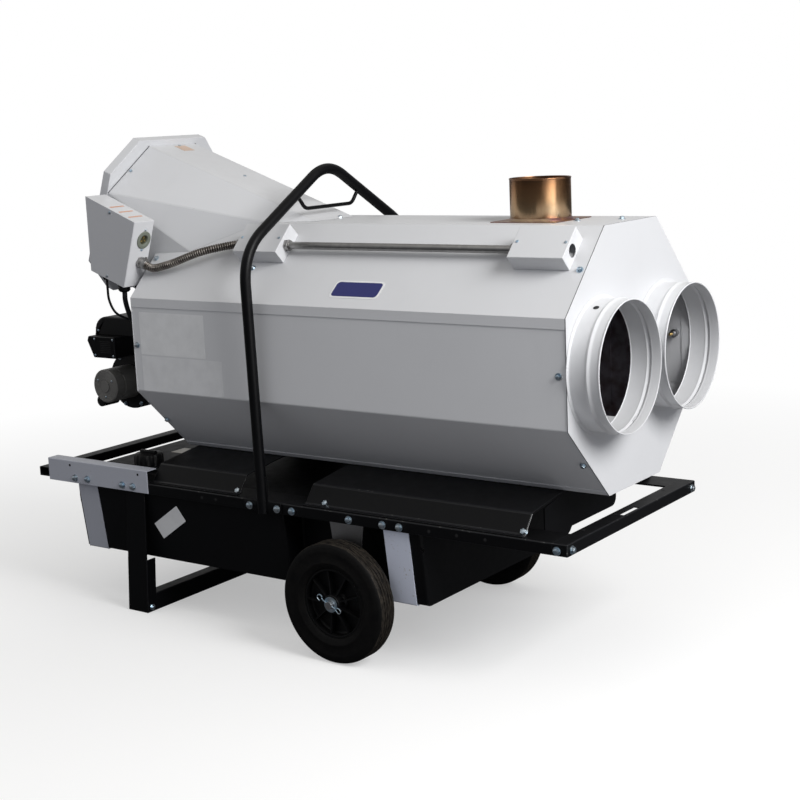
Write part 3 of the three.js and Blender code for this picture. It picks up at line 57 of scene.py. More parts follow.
HOOD_DOWN = Vector((-math.sin(HOOD_TILT), 0, -math.cos(HOOD_TILT)))
FAN_DROP = 227  # from the inlet's upper edge to the fan's axis
BOX_REAR, BOX_TOP_Z, BOX_FACE = -1500.5, 1171, -318.0
BOX_LONG, BOX_TALL, BOX_LEAN = 195, 189, 0.92  # its sloping top and front, and how much the front leans
BOX_SLOPE = math.radians(21.4)
SOCKET_DROP, CONNECTOR_DROP, SOCKET_Y = 54, 118, -271
CONDUIT_END = -1029.3
MOTOR_X, MOTOR_Z, MOTOR_FACE = -1672.0, 598.0, -140.0
RAIL_Y, RAIL_Z = 339.2, 365
HOOP_X = -902.0
CAP_X, CAP_Y = -1446.0, -205.0
WHEEL_X, WHEEL_Z, WHEEL_Y = -648, 156.5, 365
ORIGIN = Vector((0, 0, 0))
AHEAD, NEAR, UP = Vector((1, 0, 0)), Vector((0, -1, 0)), Vector((0, 0, 1))


def metres(point):
    """A point in millimetres from the front panel, as a point of the part's frame."""
    x, y, z = point
    return Vector(((x + PANEL_X) / 1000, y / 1000, z / 1000))


def linked(name, data):
    made = bpy.data.objects.new(name, data)
    bpy.context.scene.collection.objects.link(made)
    return made


def turned(degrees, axis):
    return Matrix.Rotation(math.radians(degrees), 4, axis)


def around(radius, degrees):
    """Pairs of coordinates on a circle, one for each angle."""
    return [(radius * math.cos(math.radians(a)), radius * math.sin(math.radians(a))) for a in degrees]


# ---------------------------------------------------------------- camera

CAMERA_PLACE = (1650.8, -3233.7, 1359.1)
CAMERA_TURN = (0.6310, 0.18701, -0.04447)
CAMERA_FOCAL, CAMERA_MIDDLE = 1520.16, (394.70, 400.60)  # in pixels
PICTURE, SENSOR = 800, 36


def set_camera():
    yaw, pitch, roll = CAMERA_TURN
    ahead = Vector((-math.sin(yaw) * math.cos(pitch), math.cos(yaw) * math.cos(pitch), -math.sin(pitch)))
    right = ahead.cross(UP).normalized()
    up = right.cross(ahead)
    across = right * math.cos(roll) + up * math.sin(roll)
    above = up * math.cos(roll) - right * math.sin(roll)
    camera = linked("photo_camera", bpy.data.cameras.new("photo_camera"))
    turn = Matrix((across, above, -ahead)).transposed().to_4x4()
    camera.matrix_world = Matrix.Translation(metres(CAMERA_PLACE)) @ turn
    camera.data.sensor_width = SENSOR
    camera.data.lens = CAMERA_FOCAL / PICTURE * SENSOR
    camera.data.shift_x = (PICTURE / 2 - CAMERA_MIDDLE[0]) / PICTURE
    camera.data.shift_y = (CAMERA_MIDDLE[1] - PICTURE / 2) / PICTURE
    camera.data.clip_start, camera.data.clip_end = 0.05, 60
    bpy.context.scene.camera = camera


set_camera()

# ---------------------------------------------------------------- node trees and finishes


class Tree:
    """A node tree, with short calls that add nodes to it."""

    def __init__(self, tree):
        self.tree = tree

    def set(self, node, socket, value):
        for one in value if isinstance(value, list) else [value]:
            if isinstance(one, bpy.types.NodeSocket):
                self.tree.links.new(one, node.inputs[socket])
            else:
                node.inputs[socket].default_value = one

    def add(self, kind, inputs=None, **settings):
        node = self.tree.nodes.new(kind)
        for key, value in settings.items():
            setattr(node, key, value)
        for socket, value in (inputs or {}).items():
            self.set(node, socket, value)
        return node

    def out(self, kind, inputs=None, **settings):
        return self.add(kind, inputs, **settings).outputs[0]

    def maths(self, operation, a, b=0.0):
        return self.out("ShaderNodeMath", {0: a, 1: b}, operation=operation)

    def times(self, a, b):
        return self.maths("MULTIPLY", a, b)

    def plus(self, a, b):
        return self.maths("ADD", a, b)

    def mix(self, factor, a, b):
        node = self.add("ShaderNodeMix", data_type="RGBA")
        for socket, value in ((0, factor), (6, a), (7, b)):
            self.set(node, socket, (*value, 1) if isinstance(value, tuple) else value)
        return node.outputs[2]


class Finish(Tree):
    """One material: a node tree round its shader."""

    def __init__(self, name, colour, roughness, metallic=0.0, **shader):
        self.material = bpy.data.materials.new(name)
        self.material.use_nodes = True
        super().__init__(self.material.node_tree)
        self.shader = self.tree.nodes["Principled BSDF"]
        self.set(self.shader, "Base Color", (*colour, 1))
        self.set(self.shader, "Roughness", roughness)
        self.set(self.shader, "Metallic", metallic)
        for socket, value in shader.items():
            self.set(self.shader, socket.replace("_", " "), value)
        self.where = self.add("ShaderNodeTexCoord").outputs["Object"]
        self.material.diffuse_color = (*colour, 1)

    def noise(self, scale, detail=3.0, rough=0.5, stretch=None, distortion=0.0):
        where = self.out("ShaderNodeMapping", {"Vector": self.where, "Scale": stretch}) if stretch else self.where
        inputs = {"Vector": where, "Scale": scale, "Detail": detail, "Roughness": rough, "Distortion": distortion}
        return self.add("ShaderNodeTexNoise", inputs).outputs["Fac"]

    def cells(self, scale, output="Distance"):
        return self.add("ShaderNodeTexVoronoi", {"Vector": self.where, "Scale": scale}).outputs[output]

    def ramp(self, factor, *stops):
        node = self.add("ShaderNodeValToRGB", {"Fac": factor})
        ramp = node.color_ramp
        while len(ramp.elements) < len(stops):
            ramp.elements.new(0.5)
        for element, (place, colour) in zip(ramp.elements, stops):
            element.position = place
            element.color = (*colour, 1) if isinstance(colour, tuple) else (colour, colour, colour, 1)
        return node.outputs["Color"]

    def facing_up(self, start=0.6, end=0.95):
        normal = self.add("ShaderNodeNewGeometry").outputs["Normal"]
        height = self.add("ShaderNodeSeparateXYZ", {"Vector": normal}).outputs["Z"]
        return self.ramp(height, (start, 0.0), (end, 1.0))

    def bump(self, height, strength, distance, under=None):
        inputs = {"Height": height, "Strength": strength, "Distance": distance}
        if under:
            inputs["Normal"] = under
        return self.out("ShaderNodeBump", inputs)

    def rough(self, factor, share, base):
        self.set(self.shader, "Roughness", self.plus(self.times(factor, share), base))

    def finished(self, tone, height, strength, distance, under=None):
        """The material, with its colour and its relief."""
        if tone:
            self.set(self.shader, "Base Color", tone)
        self.set(self.shader, "Normal", self.bump(height, strength, distance, under))
        return self.material


def shade(colour, factor):
    return tuple(c * factor for c in colour)


def powder_coat(name, colour, roughness, dust=(0.3, 0.28, 0.25), dust_share=0.06, worn=None, coat=0.12, gloss=0.5):
    """Powder coat: fine orange peel, slow waves in the sheet, faint marks, dust where it faces up."""
    made = Finish(name, colour, roughness, Coat_Weight=coat, Coat_Roughness=0.25, Specular_IOR_Level=gloss)
    cloud = made.ramp(made.noise(2.3, 4), (0.3, shade(colour, 0.955)), (0.7, colour))
    marks = made.ramp(made.noise(1.0, 6, 0.62, (9, 9, 2.2)), (0.56, 0.0), (0.78, 1.0))
    tone = made.mix(made.times(marks, 0.10), cloud, shade(colour, 0.72))
    settled = made.times(made.facing_up(), made.noise(26, 5))
    tone = made.mix(made.times(settled, dust_share * 2), tone, dust)
    if worn:
        tone = made.mix(made.ramp(made.noise(140, 5, 0.6), (0.63, 0.0), (0.69, 1.0)), tone, worn)
    made.rough(made.noise(38, 4), 0.16, roughness - 0.08)
    waves = made.bump(made.noise(5, 2), 0.10, 0.004)
    return made.finished(tone, made.noise(850, 2), 0.10, 0.0004, waves)


def bare_metal(name, colour, roughness, grain=(60, 60, 60), spangle=0.0, tint=None):
    """Bare or plated metal with fine brushing, and crystal spangle where it is galvanised."""
    made = Finish(name, colour, roughness, 1.0)
    streaks = made.noise(9, 5, 0.6, grain)
    tone = made.mix(streaks, shade(colour, 0.72), shade(colour, 1.12))
    if spangle:
        grey = made.out("ShaderNodeRGBToBW", {"Color": made.cells(90, "Color")})
        tone = made.mix(made.times(grey, spangle), tone, shade(colour, 1.35))
    if tint:
        tone = made.mix(made.ramp(made.noise(34, 4), (0.42, 0.0), (0.66, 1.0)), tone, tint)
    made.rough(streaks, 0.22, roughness - 0.1)
    return made.finished(tone, streaks, 0.08, 0.0003)


def moulded(name, colour, roughness, grain=900, depth=0.0002, scuff=0.35, gloss=0.3):
    """Moulded plastic: a leathery grain and pale scuffs."""
    made = Finish(name, colour, roughness, Specular_IOR_Level=gloss)
    scuffs = made.ramp(made.noise(1.0, 8, 0.7, (7, 30, 22)), (0.6, 0.0), (0.75, 1.0))
    dusty = made.times(made.facing_up(0.5, 0.9), made.noise(18, 6, 0.6))
    tone = made.mix(made.times(scuffs, scuff * 0.3), colour, shade(colour, 3.0))
    tone = made.mix(made.times(dusty, 0.03), tone, (0.09, 0.083, 0.072))
    made.rough(made.noise(44, 4), 0.2, roughness - 0.1)
    waves = made.bump(made.noise(14, 2), 0.12, 0.003)
    return made.finished(tone, made.cells(grain), 0.25, depth, waves)


def heat_tinted_flue():
    made = Finish("heat_tinted_flue", (0.5, 0.3, 0.14), 0.26, 1.0)
    z = made.add("ShaderNodeSeparateXYZ", {"Vector": made.where}).outputs["Z"]
    rise = made.out("ShaderNodeMapRange", {"Value": z, "From Min": CABINET_TOP / 1000, "From Max": FLUE_TOP / 1000})
    wander = made.times(made.maths("SUBTRACT", made.noise(16, 4), 0.5), 0.35)
    tone = made.ramp(
        made.plus(rise, wander), (0.02, (0.26, 0.18, 0.12)),
        (0.25, (0.50, 0.36, 0.22)), (0.55, (0.46, 0.27, 0.14)), (0.8, (0.36, 0.18, 0.085)), (1.0, (0.17, 0.08, 0.045)))
    streaks = made.noise(7, 6, 0.65, (22, 22, 1.2))
    stains = made.ramp(made.noise(11, 6, 0.6, (1, 1, 0.35)), (0.52, 0.0), (0.72, 1.0))
    tone = made.mix(made.times(stains, 0.45), tone, (0.12, 0.06, 0.045))
    tone = made.mix(made.times(streaks, 0.25), tone, (0.60, 0.36, 0.18))
    made.rough(streaks, 0.18, 0.15)
    return made.finished(tone, streaks, 0.10, 0.0003)


def heat_tinted_plate():
    made = Finish("heat_tinted_plate", (0.4, 0.25, 0.15), 0.34, 1.0)
    tone = made.ramp(
        made.noise(9, 5, 0.6, distortion=0.8), (0.3, (0.30, 0.20, 0.13)), (0.42, (0.45, 0.23, 0.12)),
        (0.5, (0.24, 0.12, 0.13)), (0.6, (0.42, 0.30, 0.20)), (0.75, (0.55, 0.42, 0.28)))
    made.rough(made.noise(50, 4), 0.25, 0.25)
    return made.finished(tone, made.noise(300, 3), 0.15, 0.0004)


def tyre_rubber(name, dusty):
    made = Finish(name, (0.0035, 0.0035, 0.0038), 0.55, Specular_IOR_Level=0.10)
    cloud = made.noise(1.0, 7, 0.65, (24, 24, 24))
    tone = made.mix(made.ramp(cloud, (0.35, 0.0), (0.8, 1.0)), (0.0022, 0.0022, 0.0026), (0.0055, 0.0053, 0.005))
    dirt = made.ramp(made.noise(1.0, 8, 0.7, (55, 260, 55)), (0.40, 0.0), (0.66, 1.0))
    tone = made.mix(made.times(dirt, dusty), tone, (0.07, 0.058, 0.045))
    made.rough(cloud, 0.25, 0.5)
    return made.finished(tone, made.noise(420, 4), 0.3, 0.0006)


def film(name, colour, roughness=0.38):
    """Blank film or flat paint, a little uneven in its tone."""
    made = Finish(name, colour, roughness)
    tone = made.mix(made.ramp(made.noise(30, 3), (0.4, 0.0), (0.7, 1.0)), colour, shade(colour, 0.93))
    return made.finished(tone, made.noise(160, 2), 0.05, 0.0004)


WHITE = (0.66, 0.665, 0.68)
white = powder_coat("white_powder_coat", WHITE, 0.42)
white_edge = powder_coat("white_powder_coat_at_edges", shade(WHITE, 0.95), 0.45, worn=(0.55, 0.55, 0.56))
lid_grey = powder_coat("grey_powder_coat", (0.55, 0.555, 0.575), 0.42, dust_share=0.03)
strap_grey = powder_coat("pale_grey_paint", (0.43, 0.445, 0.50), 0.40, worn=(0.36, 0.36, 0.38))
# A brighter copy of the pale grey strap paint, for the front strap only: painted light that makes up for the shade it
# sits in under the deck.
strap_painted_light = powder_coat("pale_strap_paint", (0.70, 0.74, 0.86), 0.40, worn=(0.5, 0.5, 0.52))
BLACK = (0.0026, 0.0027, 0.0033)
black = powder_coat("black_powder_coat", BLACK, 0.40, (0.04, 0.038, 0.034), 0.04, coat=0.0, gloss=0.14)
black_edge = powder_coat("black_powder_coat_at_edges", shade(BLACK, 2.6), 0.36, (0.06, 0.057, 0.052),
                         worn=(0.10, 0.097, 0.09), coat=0.0, gloss=0.34)
tank_black = moulded("tank_polyethylene", (0.0028, 0.0029, 0.0036), 0.50, 420, 0.0004, scuff=0.25, gloss=0.14)
socket_green = moulded("grey_green_plastic", (0.17, 0.185, 0.15), 0.4)
socket_dark = moulded("olive_plastic", (0.055, 0.052, 0.025), 0.4)
plastic = moulded("black_plastic", (0.0045, 0.0045, 0.005), 0.42, gloss=0.25)
wheel_plastic = moulded("wheel_plastic", (0.0026, 0.0026, 0.003), 0.40, 800, gloss=0.22)
cable_black = moulded("cable_sheath", (0.010, 0.010, 0.011), 0.45, 1500, 0.0001)
zinc = bare_metal("zinc_plated_bolts", (0.60, 0.66, 0.70), 0.30, (20, 20, 20), tint=(0.42, 0.56, 0.68))
galvanised = bare_metal("galvanised_steel", (0.30, 0.295, 0.29), 0.36, (8, 90, 90), spangle=0.5)
flex_steel = bare_metal("flexible_conduit_steel", (0.17, 0.155, 0.14), 0.36, (40, 40, 40), tint=(0.30, 0.275, 0.25))
# A darker copy of the conduit steel for the core between the ribs: painted shade in the grooves.
flex_shade = bare_metal("flexible_conduit_grooves", (0.075, 0.062, 0.052), 0.45, (40, 40, 40))
steel = bare_metal("plain_steel", (0.42, 0.42, 0.43), 0.36)
brass = bare_metal("brass", (0.66, 0.46, 0.16), 0.3)
aluminium = bare_metal("cast_aluminium", (0.62, 0.63, 0.64), 0.42)
hot_steel = bare_metal("heat_tinted_steel", (0.135, 0.125, 0.14), 0.5, (3, 5, 5), tint=(0.075, 0.055, 0.06))
cast_grey = powder_coat("cast_grey_cover", (0.17, 0.165, 0.155), 0.5, dust_share=0.1)
flue_metal, flue_plate_metal = heat_tinted_flue(), heat_tinted_plate()
tyre_side, tyre_tread = tyre_rubber("tyre_sidewall", 0.03), tyre_rubber("tyre_tread", 0.55)
red_plastic = Finish("red_button", (0.50, 0.03, 0.02), 0.3)
red_plastic = red_plastic.finished(None, red_plastic.noise(300, 2), 0.05, 0.0003)
label_white = film("blank_white_label", (0.78, 0.785, 0.79))
label_silver = film("blank_silver_label", (0.735, 0.74, 0.75), 0.3)
label_orange = film("blank_orange_label", (0.62, 0.31, 0.19))
label_peach = film("blank_peach_label", (0.60, 0.44, 0.34))
label_pale = film("blank_pale_label", (0.45, 0.42, 0.36))
navy = film("navy_stripe", (0.012, 0.016, 0.13), 0.3)
# Flat near-black film for holes and vents: painted shade that stands for the dark inside each opening.
hole_painted_shade = film("open_hole", (0.006, 0.006, 0.007), 0.8)
seam_dark = film("joint_shadow", (0.05, 0.052, 0.06), 0.7)

# ---------------------------------------------------------------- making pieces

EDGE_LOOKS = {white.name: white_edge, black.name: black_edge}


def body_of(node):
    return next(b for b, members in frame["record"]["behaviour"]["bodies"].items() if node in members)


def show(name, mesh, materials, body="root", hides=None, sharp=38):
    """Puts a finished mesh in the scene, on its body, in place of the CAD node it hides."""
    materials = materials if isinstance(materials, list) else [materials]
    for material in materials:
        mesh.materials.append(material)
    for polygon in mesh.polygons:
        polygon.use_smooth = True
    if sharp:
        mesh.set_sharp_from_angle(angle=math.radians(sharp))
    piece = linked(name, mesh)
    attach(piece, body)
    if hides:
        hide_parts(hides)
    return piece


def evaluated(holder):
    """An object's mesh with its modifiers applied. The object goes."""
    mesh = bpy.data.meshes.new_from_object(holder.evaluated_get(bpy.context.evaluated_depsgraph_get()))
    bpy.data.objects.remove(holder)
    mesh.materials.clear()
    return mesh


def dressed(nodes, material, fold, edge=0.4, thin=6.0, steps=3):
    """The CAD nodes' own shapes with rounded folds and softened edges, sizes in millimetres."""
    edge_material = EDGE_LOOKS.get(material.name)
    for node in nodes.split():
        bm = bmesh.new()
        bm.from_mesh(frame["nodes"][node].data)
        bmesh.ops.remove_doubles(bm, verts=bm.verts, dist=1e-5)
        bmesh.ops.dissolve_limit(bm, angle_limit=math.radians(0.8), verts=bm.verts, edges=bm.edges)
        weight = bm.edges.layers.float.new("bevel_weight_edge")
        for line in bm.edges:
            if len(line.link_faces) == 2 and line.calc_face_angle(0) > math.radians(13):
                breadths = [2 * f.calc_area() / max(f.calc_perimeter(), 1e-9) for f in line.link_faces]
                line[weight] = edge / fold if min(breadths) * 1000 < thin else 1.0
        bmesh.ops.triangulate(bm, faces=[f for f in bm.faces if len(f.verts) > 4], ngon_method="BEAUTY")
        mesh = bpy.data.meshes.new(node + "_skin")
        bm.to_mesh(mesh)
        bm.free()
        piece = show(node + "_skin", mesh, [material, edge_material or material], body_of(node), node, None)
        bevel = piece.modifiers.new("rounded folds", "BEVEL")
        bevel.limit_method, bevel.offset_type = "WEIGHT", "OFFSET"
        bevel.width, bevel.segments, bevel.use_clamp_overlap = fold / 1000, steps, False
        bevel.material = 1 if edge_material else -1
        piece.modifiers.new("flat faces", "WEIGHTED_NORMAL").keep_sharp = True


AXES = {
    "x": lambda r, a, h: (h, r * math.cos(a), r * math.sin(a)),
    "y": lambda r, a, h: (r * math.sin(a), h, r * math.cos(a)),
    "z": lambda r, a, h: (r * math.cos(a), r * math.sin(a), h),
}


def bend(start, corner, end, steps):
    """Points on a round bend from one point to another past a corner."""
    shares = [k / steps for k in range(steps + 1)]
    return [start * (1 - t) ** 2 + corner * 2 * t * (1 - t) + end * t**2 for t in shares]


def softened(profile, radius, closed=True):
    """The corners of a [radius, height] profile cut round."""
    points = [Vector(p) for p in profile]
    made = []
    for i, here in enumerate(points):
        a, b = points[i - 1] - here, points[(i + 1) % len(points)] - here
        at_end = not closed and i in (0, len(points) - 1)
        if at_end or a.length < 1e-6 or b.length < 1e-6 or abs(a.angle(b) - math.pi) < 0.15:
            made.append(here)
            continue
        reach = min(radius, a.length * 0.45, b.length * 0.45)
        made += bend(here + a.normalized() * reach, here, here + b.normalized() * reach, 2)
    return made


def disc(radius, low, high):
    return [(0, low), (radius, low), (radius, high), (0, high)]


def tube_profile(bore, radius, low, high):
    return [(bore, low), (radius, low), (radius, high), (bore, high)]


class Form:
    """A mesh in the making, in millimetres from the front panel."""

    def __init__(self):
        self.bm = bmesh.new()

    def skin(self, rings, closed=False):
        """Faces between each ring of points and the next. A ring may be a single point."""
        for low, high in zip(rings, rings[1:] + rings[:1] if closed else rings[1:]):
            count = max(len(low), len(high))
            for k in range(count):
                n = (k + 1) % count
                corners = [low[k % len(low)], low[n % len(low)], high[n % len(high)], high[k % len(high)]]
                if len(low) == 1:
                    corners.pop(0)
                if len(high) == 1:
                    corners.pop()
                self.bm.faces.new(corners)

    def lathe(self, axis, centre, profile, sides=96, round_by=0.0):
        """A turned form. A profile that starts on the axis ends on it, any other is a closed ring."""
        closed = profile[0][0] > 1e-6
        if round_by:
            profile = softened(profile, round_by, closed)
        rings = []
        for r, h in profile:
            turns = [k / sides * math.tau for k in range(sides if r > 1e-6 else 1)]
            rings.append([self.bm.verts.new(Vector(AXES[axis](r, a, h)) + Vector(centre)) for a in turns])
        self.skin(rings, closed)
        return self

    def block(self, low, high, turn=None, round_by=0.0):
        """A box between two corners, turned about its middle."""
        low, high = Vector(low), Vector(high)
        made = bmesh.ops.create_cube(self.bm, size=1)["verts"]
        place = Matrix.Translation((low + high) / 2) @ (turn or Matrix.Identity(4))
        bmesh.ops.transform(self.bm, matrix=place @ Matrix.Diagonal((*(high - low), 1)), verts=made)
        if round_by:
            lines = list({e for v in made for e in v.link_edges})
            bmesh.ops.bevel(self.bm, geom=lines, offset=round_by, segments=2, affect="EDGES", profile=0.5)
        return self

    def extrude(self, outline, shift):
        """A closed form from an outline of points, moved along a vector."""
        low = [self.bm.verts.new(Vector(p)) for p in outline]
        high = [self.bm.verts.new(Vector(p) + Vector(shift)) for p in outline]
        self.bm.faces.new(low)
        self.bm.faces.new(list(reversed(high)))
        self.skin([low, high])
        return self

    def sweep(self, path, radius, sides=24, capped=True):
        """A round tube along a path."""
        side = None
        rings = []
        for i, here in enumerate(path):
            ahead = (path[min(i + 1, len(path) - 1)] - path[max(i - 1, 0)]).normalized()
            if side is None:
                side = ahead.orthogonal().normalized()
            side = (side - ahead * side.dot(ahead)).normalized()
            up = ahead.cross(side)
            circle = around(radius, [k / sides * 360 for k in range(sides)])
            rings.append([self.bm.verts.new(here + side * x + up * y) for x, y in circle])
        self.skin(rings)
        if capped:
            self.bm.faces.new(list(reversed(rings[0])))
            self.bm.faces.new(rings[-1])
        return self

    def move(self, matrix):
        bmesh.ops.transform(self.bm, matrix=matrix, verts=self.bm.verts)
        return self

    def mesh(self, name):
        """The mesh in metres, in the part's frame, with its faces turned out."""
        bmesh.ops.recalc_face_normals(self.bm, faces=self.bm.faces)
        mesh = bpy.data.meshes.new(name)
        self.bm.to_mesh(mesh)
        self.bm.free()
        mesh.transform(Matrix.Translation((PANEL_X / 1000, 0, 0)) @ Matrix.Scale(0.001, 4))
        return mesh

    def show(self, name, materials, **how):
        return show(name, self.mesh(name), materials, **how)

    def stand_for(self, node, materials, sharp=38):
        """Shows the form in place of a CAD node, on that node's body."""
        return self.show(node + "_skin", materials, body=body_of(node), hides=node, sharp=sharp)


def rounded_line(points, radii, steps):
    """A path of straight runs and round bends."""
    points = [Vector(p) for p in points]
    made = [points[0]]
    for before, here, after, reach in zip(points, points[1:], points[2:], radii):
        start = here + (before - here).normalized() * reach
        made += bend(start, here, here + (after - here).normalized() * reach, steps)
    return made + [points[-1]]


def spline(points, count):
    """A centripetal Catmull-Rom curve through points, as a list of points."""
    points = [Vector(p) for p in points]
    full = [points[0] * 2 - points[1], *points, points[-1] * 2 - points[-2]]
    made = []
    runs = len(points) - 1
    for i in range(runs):
        p0, p1, p2, p3 = full[i : i + 4]
        d0, d1, d2 = [max((b - a).length ** 0.5, 1e-4) for a, b in ((p0, p1), (p1, p2), (p2, p3))]
        m1 = ((p1 - p0) / d0 - (p2 - p0) / (d0 + d1) + (p2 - p1) / d1) * d1
        m2 = ((p2 - p1) / d1 - (p3 - p1) / (d1 + d2) + (p3 - p2) / d2) * d1
        steps = max(2, round(count / runs))
        for k in range(steps if i < runs - 1 else steps + 1):
            t = k / steps
            ends = p1 * (2 * t**3 - 3 * t**2 + 1) + p2 * (3 * t**2 - 2 * t**3)
            made.append(ends + m1 * (t**3 - 2 * t**2 + t) + m2 * (t**3 - t**2))
    return made


def slant(down, out):
    """Y and Z of a point on the near upper slant: so far down it and so far out from it."""
    run = Vector((SIDE_Y - TOP_Y, CABINET_TOP - SIDE_HIGH)).normalized()
    return -TOP_Y - run.x * down - run.y * out, CABINET_TOP - run.y * down + run.x * out


SLANT_OUT = Vector((0, -0.7081, 0.7062))
LOW_SLANT_OUT = Vector((0, -0.7075, -0.7067))


def hood_point(along, y, drop):
    return Vector((HOOD_X, y, HOOD_Z)) + HOOD_FORWARD * along + HOOD_DOWN * drop


# ---------------------------------------------------------------- repeated pieces by geometry nodes


class Graph(Tree):
    """A geometry node tree with named inputs, the last of them its material."""

    def __init__(self, name, **inputs):
        super().__init__(bpy.data.node_groups.new(name, "GeometryNodeTree"))
        self.values, self.keys = inputs, {}
        self.socket("Geometry", "INPUT", "NodeSocketGeometry")
        for label, value in inputs.items():
            kind = "NodeSocketFloat" if isinstance(value, float) else "NodeSocketMaterial"
            self.keys[label] = self.socket(label, "INPUT", kind).identifier
        self.socket("Geometry", "OUTPUT", "NodeSocketGeometry")
        self.start, *self.inputs = self.tree.nodes.new("NodeGroupInput").outputs[: len(inputs) + 1]

    def socket(self, name, way, kind):
        return self.tree.interface.new_socket(name, in_out=way, socket_type=kind)

    def lifted(self, geometry, height):
        offset = self.out("ShaderNodeCombineXYZ", {"Z": height})
        return self.out("GeometryNodeTransform", {"Geometry": geometry, "Translation": offset})

    def cylinder(self, sides, radius, depth):
        return self.out("GeometryNodeMeshCylinder", {"Vertices": sides, "Radius": radius, "Depth": depth})

    def cone(self, low, high, depth):
        inputs = {"Vertices": 24, "Radius Top": high, "Radius Bottom": low, "Depth": depth}
        return self.out("GeometryNodeMeshCone", inputs)

    def facing(self, vector):
        return self.out("FunctionNodeAlignRotationToVector", {"Vector": vector}, axis="Z")

    def set_on(self, points, shape, turn):
        """Ends the tree: the shape on each point, turned, in the tree's material."""
        placed = {"Points": points, "Instance": shape, "Rotation": turn}
        whole = self.out("GeometryNodeRealizeInstances", {0: self.out("GeometryNodeInstanceOnPoints", placed)})
        painted = self.out("GeometryNodeSetMaterial", {"Geometry": whole, "Material": self.inputs[-1]})
        self.tree.links.new(painted, self.tree.nodes.new("NodeGroupOutput").inputs[0])
        return self

    def on_facing_points(self, parts, seed):
        """Ends the tree: the joined parts on each point, along its direction and turned at random."""
        facing = self.out("GeometryNodeInputNamedAttribute", {"Name": "facing"}, data_type="FLOAT_VECTOR")
        angle = self.add("FunctionNodeRandomValue", {"Min": 0.0, "Max": math.tau, "Seed": seed}, data_type="FLOAT")
        angle = next(o for o in angle.outputs if o.enabled and o.type == "VALUE")
        spin = self.out("FunctionNodeAxisAngleToRotation", {"Axis": (0, 0, 1), "Angle": angle})
        both = self.out("FunctionNodeRotateRotation", {0: self.facing(facing), 1: spin}, rotation_space="LOCAL")
        return self.set_on(self.start, self.out("GeometryNodeJoinGeometry", {0: parts}), both)

    def grow(self, name, points, edges=(), directions=(), hides=None, sharp=38, **values):
        """Runs the tree on points and keeps the result as a plain piece."""
        carrier = bpy.data.meshes.new(name)
        carrier.from_pydata([metres(p) for p in points], edges, [])
        if directions:
            facing = carrier.attributes.new("facing", "FLOAT_VECTOR", "POINT")
            facing.data.foreach_set("vector", [c for d in directions for c in Vector(d).normalized()])
        holder = linked(name + "_carrier", carrier)
        modifier = holder.modifiers.new("grown", "NODES")
        modifier.node_group = self.tree
        values = {**self.values, **values}
        for label, key in self.keys.items():
            modifier[key] = values[label]
        return show(name, evaluated(holder), values["material"], "root", hides, sharp)


def hex_bolts():
    """A hexagon head with a chamfered top, on a round washer."""
    graph = Graph("hex_bolts", radius=0.0065, height=0.0055, washer_radius=0.009, washer_height=0.0014, material=zinc)
    radius, height, washer_radius, washer_height, _ = graph.inputs
    head = graph.lifted(graph.cylinder(6, radius, height), graph.plus(washer_height, graph.times(height, 0.5)))
    top = graph.cone(graph.times(radius, 0.88), graph.times(radius, 0.62), graph.times(height, 0.22))
    top = graph.lifted(top, graph.plus(washer_height, height))
    washer = graph.lifted(graph.cylinder(28, washer_radius, washer_height), graph.times(washer_height, 0.5))
    return graph.on_facing_points([head, top, washer], 4)


def pan_screws():
    """A low round head with a raised cross that stands for its recess."""
    graph = Graph("pan_screws", radius=0.0042, height=0.0024, material=zinc)
    radius, height, _ = graph.inputs
    half = graph.times(height, 0.5)
    parts = [graph.lifted(graph.cylinder(24, radius, half), graph.times(height, 0.25)),
             graph.lifted(graph.cone(radius, graph.times(radius, 0.55), half), half)]
    for x, y in ((0.9, 0.198), (0.198, 0.9)):
        size = {"X": graph.times(radius, x), "Y": graph.times(radius, y), "Z": graph.times(height, 0.3)}
        arm = graph.out("GeometryNodeMeshCube", {"Size": graph.out("ShaderNodeCombineXYZ", size)})
        parts.append(graph.lifted(arm, graph.times(height, 0.92)))
    return graph.on_facing_points(parts, 9)


def rings_along_path():
    """Rings at an even pitch along a path, each square to it."""
    graph = Graph("rings_along_path", pitch=0.0066, ring_radius=0.0089, wire_radius=0.0020, material=flex_steel)
    pitch, ring_radius, wire_radius, _ = graph.inputs
    line = graph.out("GeometryNodeMeshToCurve", {"Mesh": graph.start})
    even = graph.out("GeometryNodeResampleCurve", {"Curve": line, "Length": pitch}, mode="LENGTH")
    circle, wire = [graph.out("GeometryNodeCurvePrimitiveCircle", {"Resolution": sides, "Radius": radius})
                    for sides, radius in ((24, ring_radius), (8, wire_radius))]
    ring = graph.out("GeometryNodeCurveToMesh", {"Curve": circle, "Profile Curve": wire})
    return graph.set_on(even, ring, graph.facing(graph.out("GeometryNodeInputTangent")))


BOLTS, SCREWS, RINGS = hex_bolts(), pan_screws(), rings_along_path()


def bolts(name, places, radius, height, washer_radius, washer_height):
    """Hexagon bolts. Places are (point, direction), all in millimetres."""
    points, directions = zip(*places)
    BOLTS.grow(name, points, directions=directions, radius=radius / 1000, height=height / 1000,
               washer_radius=washer_radius / 1000, washer_height=washer_height / 1000)


def screws(name, places, radius, height, material=zinc):
    points, directions = zip(*places)
    SCREWS.grow(name, points, directions=directions, radius=radius / 1000, height=height / 1000, material=material)


def patch(name, centre, across, up, width, height, material, corner=2.0, thickness=0.25, shear=0.0):
    """A thin flat film with round corners that lies on a face."""
    across, up = Vector(across).normalized(), Vector(up).normalized()
    outline = []
    for sx, sy, start in ((1, 1, 0), (-1, 1, 90), (-1, -1, 180), (1, -1, 270)):
        for a, b in around(corner, [start + k * 22.5 for k in range(5)]):
            a, b = a + sx * (width / 2 - corner), b + sy * (height / 2 - corner)
            outline.append(Vector(centre) + across * (a + shear * b) + up * b)
    Form().extrude(outline, across.cross(up) * thickness).show(name, material, sharp=30)


# ---------------------------------------------------------------- cabinet

